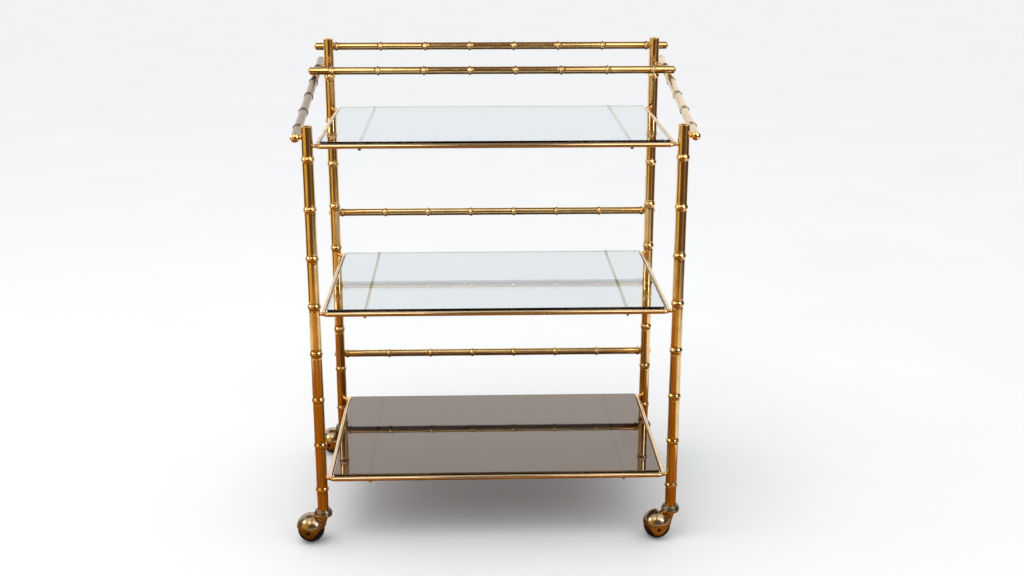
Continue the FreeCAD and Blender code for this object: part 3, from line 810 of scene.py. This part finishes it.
class CART_OT_posts(bpy.types.Operator):
    """Build the four bamboo-look posts"""
    bl_idname = "cart.posts"
    bl_label = "Posts"

    def execute(self, context):
        sizes = context.scene.cart_sizes
        for corner in CORNERS:
            foot, head = post_ends(corner)
            room = (head - foot).length - sizes.post_first_ring
            rings = {
                "Ring Rise": sizes.post_ring_rise,
                "Ring Half Width": sizes.post_ring_half,
                "First Ring": sizes.post_first_ring,
                "Ring Pitch": sizes.post_ring_pitch,
                "Ring Count": int(room / sizes.post_ring_pitch) + 1,
            }
            bamboo_piece(corner + "_post", foot, head, sizes.post_radius, rings, shared(tube_brass))
        return {"FINISHED"}


class CART_OT_rails(bpy.types.Operator):
    """Build the long rails and the sloping side rails"""
    bl_idname = "cart.rails"
    bl_label = "Rails"

    def execute(self, context):
        sizes = context.scene.cart_sizes
        finishes = {"left_side_rail": dull_brass, "right_side_rail": pale_brass}
        for rail in LONG_RAILS + SIDE_RAILS:
            start, end = rail_ends(rail)
            run = (end - start).length
            if rail in LONG_RAILS:
                pitch = sizes.rail_ring_pitch
                count = int(run / pitch) + 1
                first = (run - pitch * (count - 1)) / 2
            else:
                pitch = sizes.side_ring_pitch
                first = sizes.side_first_ring
                count = int((run - first) / pitch) + 1
            rings = {
                "Ring Rise": sizes.rail_ring_rise,
                "Ring Half Width": sizes.rail_ring_half,
                "First Ring": first,
                "Ring Pitch": pitch,
                "Ring Count": count,
            }
            bamboo_piece(rail, start, end, sizes.rail_radius, rings, shared(finishes.get(rail, tube_brass)))
        return {"FINISHED"}


def cap_profile(radius, dome):
    """A dome with a rounded rim, for the end of a tube."""
    sizes = bpy.context.scene.cart_sizes
    rim = radius + sizes.cap_rim
    plug = radius - TUBE_WALL
    skirt = sizes.cap_skirt
    edge = [(0, -CAP_PLUG), (plug, -CAP_PLUG), (plug, 0), (rim, 0), (rim, skirt)]
    crown = [(rim * share, skirt + dome * (1 - share ** 2)) for share in CROWN_SHARES]
    return rounded(edge + crown + [(0, skirt + dome)], CAP_ROUND)


class CART_OT_caps(bpy.types.Operator):
    """Close the posts and the rails with domed caps"""
    bl_idname = "cart.caps"
    bl_label = "Tube caps"

    def execute(self, context):
        sizes = context.scene.cart_sizes
        brass = shared(tube_brass)
        heads = [(post_ends(corner)[1], UP) for corner in CORNERS]
        cap = cap_profile(sizes.post_radius, sizes.post_cap_dome)
        fit_to_frame("post_cap_set", cap, heads, brass, "post_caps")
        ends = []
        for rail in LONG_RAILS + SIDE_RAILS:
            start, end = rail_ends(rail)
            along = (end - start).normalized()
            ends += [(start, -along), (end, along)]
        cap = cap_profile(sizes.rail_radius, sizes.rail_cap_dome)
        fit_to_frame("rail_cap_set", cap, ends, brass, "rail_end_caps")
        return {"FINISHED"}


# Brazed joints

def brazed_stub(radius, half, fillet):
    """A short round bar along Z with a braze fillet at each end."""
    shares = [-share for share in reversed(FILLET_SHARES)] + [0, *FILLET_SHARES]
    rows = [(radius + fillet * abs(share) ** 4, half * share) for share in shares]
    return [(0, -half)] + rows + [(0, half)]


def crossing(rail, corner):
    """Where a rail passes a post: the point on the post axis and the point on the rail axis."""
    start, end = rail_ends(rail)
    foot, _ = post_ends(corner)
    run = end - start
    axis = 0 if rail in LONG_RAILS else 1
    share = (foot[axis] - start[axis]) / run[axis]
    on_rail = start + run * share
    return Vector((foot.x, foot.y, on_rail.z)), on_rail


def stub_places():
    """Middle and direction of each stub between a post and a rail."""
    sizes = bpy.context.scene.cart_sizes
    pairs = [(rail, corner) for rail in BACK_RAILS for corner in ("back_left", "back_right")]
    for side in ("left", "right"):
        pairs += [(side + "_side_rail", end + "_" + side) for end in ("front", "back")]
    places = []
    for rail, corner in pairs:
        on_post, on_rail = crossing(rail, corner)
        out = (on_rail - on_post).normalized()
        post_skin = on_post + out * sizes.post_radius
        rail_skin = on_rail - out * sizes.rail_radius
        places.append(((post_skin + rail_skin) / 2, out))
    return places


def saddle_places():
    """Middle and direction of each saddle between the cross rail and a side rail."""
    cross, _ = rail_ends("cross_rail")
    places = []
    for rail in SIDE_RAILS:
        start, end = rail_ends(rail)
        along = (end - start).normalized()
        up = Vector((0, -along.z, along.y))
        above = Vector((start.x, cross.y, cross.z))
        lift = (above - start).dot(up)
        places.append((above - up * (lift / 2), up))
    return places


def pin_places(shelf):
    """Middle and direction of each pin between a shelf corner and its post, and the gap that it bridges."""
    sizes = bpy.context.scene.cart_sizes
    low, high = box_of(shelf + "_shelf_frame")
    middle = (low + high) / 2
    inset = sizes.rod_radius + sizes.rod_corner
    places = []
    for corner in CORNERS:
        foot, _ = post_ends(corner)
        bend_x = low.x + inset if foot.x < middle.x else high.x - inset
        bend_y = low.y + inset if foot.y < middle.y else high.y - inset
        bend = Vector((bend_x, bend_y, middle.z))
        on_post = Vector((foot.x, foot.y, middle.z))
        out = (on_post - bend).normalized()
        from_rod = bend + out * inset
        from_post = on_post - out * sizes.post_radius
        places.append(((from_rod + from_post) / 2, out))
    return places, (from_post - from_rod).length


class CART_OT_joints(bpy.types.Operator):
    """Build the brazed stubs, saddles and corner pins"""
    bl_idname = "cart.joints"
    bl_label = "Brazed joints"

    def execute(self, context):
        sizes = context.scene.cart_sizes
        brass = shared(tube_brass)
        stub = brazed_stub(sizes.stub_radius, STUB_HALF, STUB_FILLET)
        fit_to_frame("rail_stub_set", stub, stub_places(), brass, "rail_stubs")
        saddle = brazed_stub(SADDLE_RADIUS, SADDLE_HALF, SADDLE_FILLET)
        fit_to_frame("rail_saddle_set", saddle, saddle_places(), brass, "rail_saddles")
        for shelf in SHELVES:
            places, gap = pin_places(shelf)
            pin = brazed_stub(sizes.pin_radius, gap / 2 + PIN_OVERLAP, PIN_FILLET)
            node = shelf + "_corner_pins"
            fit_to_frame(shelf + "_corner_pin_set", pin, places, shared(rod_brass), node)
        return {"FINISHED"}


# Shelves

def make_shelf_rod(shelf):
    """The rod bent round a shelf."""
    sizes = bpy.context.scene.cart_sizes
    brass = shared(rod_brass)
    low, high = box_of(shelf + "_shelf_frame")
    values = {
        "Centre": (low + high) / 2,
        "Width": high.x - low.x - 2 * sizes.rod_radius,
        "Depth": high.y - low.y - 2 * sizes.rod_radius,
        "Rod Radius": sizes.rod_radius,
        "Corner Radius": sizes.rod_corner,
        "Material": brass,
    }
    name = shelf + "_shelf_rod"
    seed = bpy.data.meshes.new(name + "_seed")
    mesh = run_tree(shared(rod_loop_tree), seed, name, values)
    finish_piece(name, mesh, brass, "frame", shelf + "_shelf_frame")


def make_thin_rods(shelf):
    """The two thin rods under a pane, from front to back."""
    node = shelf + "_cross_rods"
    low, high = box_of(node)
    middle = (low + high) / 2
    radius = (high.z - low.z) / 2
    half = (high.y - low.y) / 2
    rod = rounded([(0, -half), (radius, -half), (radius, half), (0, half)], THIN_ROD_ROUND)
    places = [(Vector((x, middle.y, middle.z)), BACK) for x in (low.x + radius, high.x - radius)]
    fit_to_frame(shelf + "_thin_rods", rod, places, shared(pale_brass), node)


class CART_OT_shelves(bpy.types.Operator):
    """Bend the rod round each shelf and lay the two thin rods under it"""
    bl_idname = "cart.shelves"
    bl_label = "Shelf frames"

    def execute(self, context):
        for shelf in SHELVES:
            make_shelf_rod(shelf)
            make_thin_rods(shelf)
        return {"FINISHED"}


def pane_mesh(node, corner, arris):
    """A pane with rounded corners and a ground arris all round."""
    low, high = box_of(node)
    bm = bmesh.new()
    outline = []
    centres = [
        (high.x - corner, high.y - corner),
        (low.x + corner, high.y - corner),
        (low.x + corner, low.y + corner),
        (high.x - corner, low.y + corner),
    ]
    for quarter, (x, y) in enumerate(centres):
        for i in range(PANE_CORNER_STEPS + 1):
            turn = math.pi / 2 * (quarter + i / PANE_CORNER_STEPS)
            outline.append(bm.verts.new((x + corner * math.cos(turn), y + corner * math.sin(turn), low.z)))
    face = bm.faces.new(outline)
    raised = bmesh.ops.extrude_face_region(bm, geom=[face])
    moved = [v for v in raised["geom"] if isinstance(v, bmesh.types.BMVert)]
    bmesh.ops.translate(bm, verts=moved, vec=(0, 0, high.z - low.z))
    rims = [e for e in bm.edges if abs(e.verts[0].co.z - e.verts[1].co.z) < arris]
    bmesh.ops.bevel(bm, geom=rims, offset=arris, segments=3, profile=0.5, affect="EDGES")
    return mesh_from(bm, node + "_pane", PANE_SHARP_ANGLE)


class CART_OT_glass(bpy.types.Operator):
    """Lay the smoked glass panes in their frames"""
    bl_idname = "cart.glass"
    bl_label = "Glass"

    def execute(self, context):
        sizes = context.scene.cart_sizes
        for shelf in SHELVES:
            node = shelf + "_glass"
            material = shared(lower_glass if shelf == "bottom" else upper_glass)
            mesh = pane_mesh(node, sizes.glass_corner, sizes.glass_arris)
            finish_piece(node + "_pane", mesh, material, shelf + "_pane", node)
        return {"FINISHED"}


# Casters

def ball_profile(radius, first, last):
    """Part of a ball as a profile, by the angle from its front pole."""
    turns = [first + (last - first) * i / BALL_STEPS for i in range(BALL_STEPS + 1)]
    return [(radius * math.sin(t), radius * math.cos(t)) for t in turns]


def grid(bm, rows, closed):
    """Faces between rows of points; the ends of closed rows are joined too."""
    verts = [[bm.verts.new(point) for point in row] for row in rows]
    for lower, upper in zip(verts, verts[1:]):
        for i in range(len(lower) if closed else len(lower) - 1):
            j = (i + 1) % len(lower)
            bm.faces.new((lower[i], lower[j], upper[j], upper[i]))


def modified(bm, name, *modifiers):
    """A bmesh with modifiers applied, each given as its kind and settings."""
    holder = holder_for(mesh_from(bm, name), name)
    for kind, settings in modifiers:
        modifier = holder.modifiers.new(kind, kind)
        for key, value in settings.items():
            setattr(modifier, key, value)
    mesh = plain_mesh(holder, name)
    result = bmesh.new()
    result.from_mesh(mesh)
    bpy.data.meshes.remove(mesh)
    return result


def ear_outline():
    """An ear below the fender line as (x, z) from the axle, from left to right round its tip."""
    sizes = bpy.context.scene.cart_sizes
    lean = sizes.ear_lean
    foot_x = sizes.ear_tip_radius * math.cos(lean)
    foot_z = -sizes.ear_tip_drop - sizes.ear_tip_radius * math.sin(lean)
    foot = Vector((foot_x, foot_z))
    corner = Vector((foot_x + (sizes.fender - foot_z) * math.tan(lean), sizes.fender))
    right = [foot.lerp(corner, (i + 1) / EAR_FLANK_STEPS) for i in range(EAR_FLANK_STEPS)]
    left = [Vector((-point.x, point.y)) for point in reversed(right)]
    tip_centre = Vector((0, -sizes.ear_tip_drop))
    tip = []
    for i in range(EAR_TIP_STEPS + 1):
        turn = math.pi + lean + (math.pi - 2 * lean) * i / EAR_TIP_STEPS
        tip.append(tip_centre + Vector((math.cos(turn), math.sin(turn))) * sizes.ear_tip_radius)
    return left + tip + right


def hood_shell(place):
    """The thin metal of a hood: a barrel of hoops over the wheel, closed at each end by a cap with an ear."""
    sizes = bpy.context.scene.cart_sizes
    radius = sizes.hood_radius
    axle = Vector((0, -sizes.hood_lift))
    ear = [point + axle for point in ear_outline()]
    corner = ear[-1]
    cap_depth = math.sqrt(radius ** 2 - corner.length ** 2)

    def hoop(depth):
        """One row of the barrel, from the right rim over the top to the left rim."""
        reach = math.sqrt(radius ** 2 - depth ** 2)
        start = math.asin(corner.y / reach)
        turns = [start + (math.pi - 2 * start) * i / HOOD_COLUMNS for i in range(HOOD_COLUMNS + 1)]
        return [Vector((reach * math.cos(t), depth, reach * math.sin(t))) for t in turns]

    bm = bmesh.new()
    grid(bm, [hoop(cap_depth * (2 * i / HOOD_ROWS - 1)) for i in range(HOOD_ROWS + 1)], closed=False)
    outline = ear + [Vector((point.x, point.z)) for point in hoop(cap_depth)[1:-1]]
    for side in (-1, 1):
        rows = []
        for i in range(EAR_ROWS + 1):
            row = []
            for rim in outline:
                hole = axle + (rim - axle).normalized() * sizes.axle_radius
                spot = hole.lerp(rim, i / EAR_ROWS)
                row.append(Vector((spot.x, side * math.sqrt(radius ** 2 - spot.length_squared), spot.y)))
            rows.append(row)
        grid(bm, rows, closed=True)
    bmesh.ops.remove_doubles(bm, verts=bm.verts, dist=HOOD_WELD)
    bm.transform(place)
    wall = {"thickness": sizes.hood_wall, "offset": -1.0, "use_even_offset": True}
    edge = {"width": sizes.hood_rim, "segments": 2, "limit_method": "ANGLE", "angle_limit": HOOD_RIM_ANGLE}
    return modified(bm, "hood_shell", ("SOLIDIFY", wall), ("BEVEL", edge))


def hood_neck(corner, stem, axle_height, hood_centre):
    """The tapered neck and collar, cut back from the wheel."""
    sizes = bpy.context.scene.cart_sizes
    collar_top = box_of(corner + "_socket")[0].z - sizes.swivel_gap
    top = collar_top - sizes.swivel_flange
    foot = axle_height + sizes.neck_foot
    widening = sizes.neck_top_radius - sizes.neck_foot_radius
    taper = []
    for i in range(NECK_STEPS + 1):
        share = i / NECK_STEPS
        taper.append((sizes.neck_foot_radius + widening * share ** NECK_CURVE, foot + (top - foot) * share))
    collar = [(sizes.swivel_radius, top), (sizes.swivel_radius, collar_top), (0, collar_top)]
    profile = [(0, foot)] + taper + rounded([taper[-1]] + collar, sizes.swivel_round)[1:]
    ball = ball_profile(sizes.hood_radius - sizes.hood_wall / 2, 0, math.pi)
    cutter_mesh = mesh_from(lathe(ball, Matrix.Translation(hood_centre), BALL_SEGMENTS), "cutter")
    cutter = holder_for(cutter_mesh, "cutter")
    neck = lathe(profile, Matrix.Translation(stem), BALL_SEGMENTS)
    neck = modified(neck, "neck", ("BOOLEAN", {"operation": "DIFFERENCE", "object": cutter}))
    bpy.data.objects.remove(cutter)
    return neck


def axle_boss(centre, direction):
    """The tube inside an ear that holds the axle."""
    sizes = bpy.context.scene.cart_sizes
    inner = sizes.axle_radius
    outer = inner + sizes.boss_wall
    low_edge = sizes.hood_lift + outer
    skin = sizes.hood_radius - sizes.hood_wall / 2
    front = math.sqrt(skin ** 2 - low_edge ** 2)
    ring = [(inner, sizes.boss_inner), (outer, sizes.boss_inner), (outer, front), (inner, front)]
    return lathe(ring + ring[:1], axis_frame(centre, direction))


def wheel_joint(corner):
    """Wheel centre and axle direction of a caster, the axle towards the front."""
    joint = next(j for j in frame["joints"] if j["name"] == corner + "_wheel_roll")
    return Vector(joint["pos_m"]), Vector(joint["axis"]).normalized()


def make_hood(corner):
    """A hood with its neck, collar and two bosses in one piece."""
    sizes = bpy.context.scene.cart_sizes
    centre, axle = wheel_joint(corner)
    stem = middle_of(corner + "_stem")
    stem.z = 0
    hood_centre = centre + UP * sizes.hood_lift
    turn = Matrix((-axle.cross(UP), -axle, UP)).transposed().to_4x4()
    shell = hood_shell(Matrix.Translation(hood_centre) @ turn)
    neck = hood_neck(corner, stem, centre.z, hood_centre)
    whole = joined(shell, neck, axle_boss(centre, axle), axle_boss(centre, -axle))
    name = corner + "_hood_cover"
    mesh = bpy.data.meshes.new(name)
    whole.to_mesh(mesh)
    whole.free()
    node = corner + "_hood"
    finish_piece(name, smooth(mesh), shared(caster_brass), corner + "_swivel", node)


def make_socket(corner):
    """The tapered collar under a post."""
    sizes = bpy.context.scene.cart_sizes
    node = corner + "_socket"
    low, high = box_of(node)
    middle = (low + high) / 2
    flange = (high.x - low.x) / 2
    bore = sizes.post_radius - TUBE_WALL
    top = sizes.socket_flange
    ring = rounded([(bore, 0), (flange, 0), (sizes.socket_top_radius, top), (bore, top)], sizes.collar_round)
    name = corner + "_socket_ring"
    place = Matrix.Translation((middle.x, middle.y, low.z))
    mesh = mesh_from(lathe(ring + ring[:1], place, BALL_SEGMENTS), name)
    finish_piece(name, mesh, shared(collar_metal), "frame", node)


def make_tyre(corner):
    """A ball tyre with flat sides."""
    sizes = bpy.context.scene.cart_sizes
    place = axis_frame(*wheel_joint(corner))
    half = sizes.tyre_half
    shoulder = math.acos(half / sizes.wheel_radius)
    tread = ball_profile(sizes.wheel_radius, shoulder, math.pi - shoulder)
    ring = rounded([(sizes.core_radius, half), tread[0], tread[1]], TYRE_ROUND)[:-1] + tread[1:-1]
    ring += rounded([tread[-2], tread[-1], (sizes.core_radius, -half)], TYRE_ROUND)[1:]
    name = corner + "_tyre_ball"
    mesh = mesh_from(lathe(ring + ring[:1], place, BALL_SEGMENTS), name)
    finish_piece(name, mesh, shared(rubber), corner + "_roller", corner + "_tyre")


def make_wheel_core(corner):
    """The core that a tyre sits on."""
    sizes = bpy.context.scene.cart_sizes
    place = axis_frame(*wheel_joint(corner))
    bore = sizes.axle_radius + sizes.running_gap
    skin = sizes.core_radius - CORE_GAP
    end = sizes.core_half
    core = [(bore, -end), (skin, -end), (skin, end), (bore, end)]
    name = corner + "_wheel_core"
    mesh = mesh_from(lathe(rounded(core + core[:1], CORE_ROUND), place), name)
    finish_piece(name, mesh, shared(caster_brass), corner + "_roller", corner + "_wheel")


def paint(node, material):
    """Give a CAD node that stays a material."""
    mesh = frame["nodes"][node].data
    mesh.materials.clear()
    mesh.materials.append(material)


class CART_OT_casters(bpy.types.Operator):
    """Build the ball casters"""
    bl_idname = "cart.casters"
    bl_label = "Ball casters"

    def execute(self, context):
        for corner in CORNERS:
            make_hood(corner)
            make_socket(corner)
            make_tyre(corner)
            make_wheel_core(corner)
            paint(corner + "_stem", shared(steel))
            paint(corner + "_axle", shared(steel))
        return {"FINISHED"}


# Stage

def matt_material(name, rgb, noise_scale, noise_detail, low, high, unevenness, roughness, specular):
    """A matt surface, lighter and darker in places."""
    material, make, shader = new_material(name)
    cloud = make.noise(noise_scale, noise_detail)
    shade = make.spread(cloud, low, high, 1.0 - unevenness, 1.0 + unevenness)
    make.feed(shader["Base Color"], make.scaled(tuple(rgb), shade))
    shader["Roughness"].default_value = roughness
    shader["Specular IOR Level"].default_value = specular
    return material


def floor_material():
    """The pale floor, with faint clouds."""
    return matt_material("Pale floor", bpy.context.scene.cart_stage.floor, noise_scale=2.2, noise_detail=4.0,
                         low=0.0, high=1.0, unevenness=0.03, roughness=0.9, specular=0.1)


def card_material(name, rgb, unevenness=0.0):
    """A matt card without any sheen."""
    return matt_material(name, rgb, noise_scale=4.5, noise_detail=2.0,
                         low=0.35, high=0.65, unevenness=unevenness, roughness=1.0, specular=0.0)


def level(span, height):
    """Corners of a level surface between two opposite corners."""
    (x0, y0), (x1, y1) = span
    return [(x0, y0, height), (x1, y0, height), (x1, y1, height), (x0, y1, height)]


def upright(start, end, bottom, top):
    """Corners of an upright card between two places on the floor."""
    return [(*start, bottom), (*end, bottom), (*end, top), (*start, top)]


def flat(name, corners, material):
    """A flat stage piece from its corners."""
    mesh = bpy.data.meshes.new(name)
    mesh.from_pydata(corners, [], [list(range(len(corners)))])
    mesh.materials.append(material)
    piece = holder_for(mesh, name)
    return piece


def mirror_card(name, corners, material):
    """A card that only mirrors see, which gives the metal its dark and warm bands."""
    card = flat(name, corners, material)
    card.visible_camera = False
    card.visible_diffuse = False
    card.visible_shadow = False
    card.visible_transmission = False


def set_cards(stage):
    """Stand the cards round the cart."""
    dark = card_material("Dark card", stage.dark_card)
    mirror_card("front_card", upright(FRONT_LEFT, FRONT_RIGHT, FRONT_BOTTOM, FRONT_TOP), dark)
    mirror_card("front_upper_card", upright(STRIP_LEFT, STRIP_RIGHT, FRONT_TOP, STAGE_TOP), dark)
    mirror_card("left_card", upright(LEFT_FRONT, LEFT_BACK, 0, SIDE_TOP), dark)
    mirror_card("right_card", upright(RIGHT_FRONT, RIGHT_BACK, 0, SIDE_TOP), dark)
    mirror_card("ceiling_card", level(CEILING_SPAN, STAGE_TOP), dark)
    brown = card_material("Brown card", stage.brown_card)
    mirror_card("overhead_card", level(OVERHEAD_SPAN, STAGE_TOP), brown)
    mirror_card("right_gap_card", upright(FRONT_RIGHT, RIGHT_FRONT, 0, SIDE_TOP), brown)
    amber = card_material("Amber card", stage.amber_card)
    mirror_card("amber_card", upright(FRONT_LEFT, LEFT_FRONT, 0, SIDE_TOP), amber)
    warm = card_material("Warm card", stage.warm_card, unevenness=0.5)
    mirror_card("low_card", level(LOW_SPAN, NEAR_FLOOR), warm)
    far = card_material("Far card", stage.far_card, unevenness=0.3)
    mirror_card("far_low_card", level(FAR_LOW_SPAN, NEAR_FLOOR), far)


def area_lamp(name, power, size, place, target):
    """A soft rectangular lamp that faces a point."""
    lamp = bpy.data.lights.new(name, "AREA")
    lamp.shape = "RECTANGLE"
    lamp.size, lamp.size_y = size
    lamp.energy = power
    holder = holder_for(lamp, name)
    holder.location = place
    holder.rotation_euler = (Vector(target) - Vector(place)).to_track_quat("-Z", "Y").to_euler()
    return holder


def pane_collection():
    """The three panes, marked to be left out by a lamp."""
    panes = bpy.data.collections.new("unlit_panes")
    for shelf in SHELVES:
        panes.objects.link(bpy.data.objects[shelf + "_glass_pane"])
    for member in panes.collection_objects:
        member.light_linking.link_state = "EXCLUDE"
    return panes


def set_lamps(stage):
    """Hang the soft lamp overhead, and the lamps that the metal mirrors and the panes do not."""
    key = area_lamp("overhead_lamp", stage.key_power, KEY_SIZE, KEY_PLACE, (0, 0, 0))
    key.visible_glossy = False
    panes = pane_collection()
    for name, place in GLINT_PLACES.items():
        glint = area_lamp(name, stage.glint_power, GLINT_SIZE, place, GLINT_TARGET)
        glint.visible_diffuse = False
        glint.light_linking.receiver_collection = panes
    for name, place in WIDE_LAMP_PLACES.items():
        x, _, height = place
        wide = area_lamp(name, stage.wide_power, WIDE_LAMP_SIZE, place, (x, 0, height))
        wide.data.color = stage.wide_colour
        wide.visible_camera = False
        wide.visible_diffuse = False
        wide.visible_transmission = False
        wide.light_linking.receiver_collection = panes


def set_sky(scene, stage):
    """Even light from all round."""
    world = bpy.data.worlds.new("Even light")
    world.use_nodes = True
    light = world.node_tree.nodes["Background"]
    light.inputs["Color"].default_value = opaque(stage.sky_colour)
    light.inputs["Strength"].default_value = stage.sky
    scene.world = world


def set_camera(scene, stage):
    """Put the camera where the photo was taken from."""
    camera = bpy.data.cameras.new("Photo camera")
    camera.lens = stage.lens
    camera.sensor_width = FILM_WIDTH
    holder = holder_for(camera, "Photo camera")
    feet = [post_ends(corner)[0] for corner in CORNERS]
    middle = sum(feet, Vector()) / len(feet)
    holder.location = (middle.x + CAMERA_OFFSET.x, middle.y + CAMERA_OFFSET.y, CAMERA_OFFSET.z)
    holder.rotation_euler = CAMERA_TURN
    scene.camera = holder


class CART_OT_stage(bpy.types.Operator):
    """Set the floor, the light and the camera"""
    bl_idname = "cart.stage"
    bl_label = "Stage"

    def execute(self, context):
        scene = context.scene
        stage = scene.cart_stage
        scene.view_settings.view_transform = "Standard"
        flat("floor", level(FLOOR_SPAN, 0), floor_material())
        set_cards(stage)
        set_sky(scene, stage)
        set_lamps(stage)
        set_camera(scene, stage)
        return {"FINISHED"}


class CART_PT_panel(bpy.types.Panel):
    """Bar cart tools in the 3D view's sidebar"""
    bl_idname = "CART_PT_panel"
    bl_label = "Bar cart"
    bl_space_type = "VIEW_3D"
    bl_region_type = "UI"
    bl_category = "Bar cart"

    def draw(self, context):
        column = self.layout.column()
        for operator in OPERATORS:
            column.operator(operator.bl_idname)
        for group in (context.scene.cart_sizes, context.scene.cart_finish, context.scene.cart_stage):
            for key in group.bl_rna.properties.keys():
                if key not in ("rna_type", "name"):
                    column.prop(group, key)


OPERATORS = (
    CART_OT_posts,
    CART_OT_rails,
    CART_OT_caps,
    CART_OT_joints,
    CART_OT_shelves,
    CART_OT_glass,
    CART_OT_casters,
    CART_OT_stage,
)
GROUPS = {"cart_sizes": CartSizes, "cart_finish": CartFinish, "cart_stage": CartStage}


def register():
    """Add the properties, operators and panel."""
    for group in GROUPS.values():
        bpy.utils.register_class(group)
    for operator in OPERATORS:
        bpy.utils.register_class(operator)
    bpy.utils.register_class(CART_PT_panel)
    for key, group in GROUPS.items():
        setattr(bpy.types.Scene, key, bpy.props.PointerProperty(type=group))


def unregister():
    """Take away what register added."""
    for key in GROUPS:
        delattr(bpy.types.Scene, key)
    bpy.utils.unregister_class(CART_PT_panel)
    for operator in reversed(OPERATORS):
        bpy.utils.unregister_class(operator)
    for group in GROUPS.values():
        bpy.utils.unregister_class(group)


def main():
    """Build the cart and its stage."""
    register()
    bpy.ops.cart.posts()
    bpy.ops.cart.rails()
    bpy.ops.cart.caps()
    bpy.ops.cart.joints()
    bpy.ops.cart.shelves()
    bpy.ops.cart.glass()
    bpy.ops.cart.casters()
    bpy.ops.cart.stage()


if __name__ == "__main__":
    main()
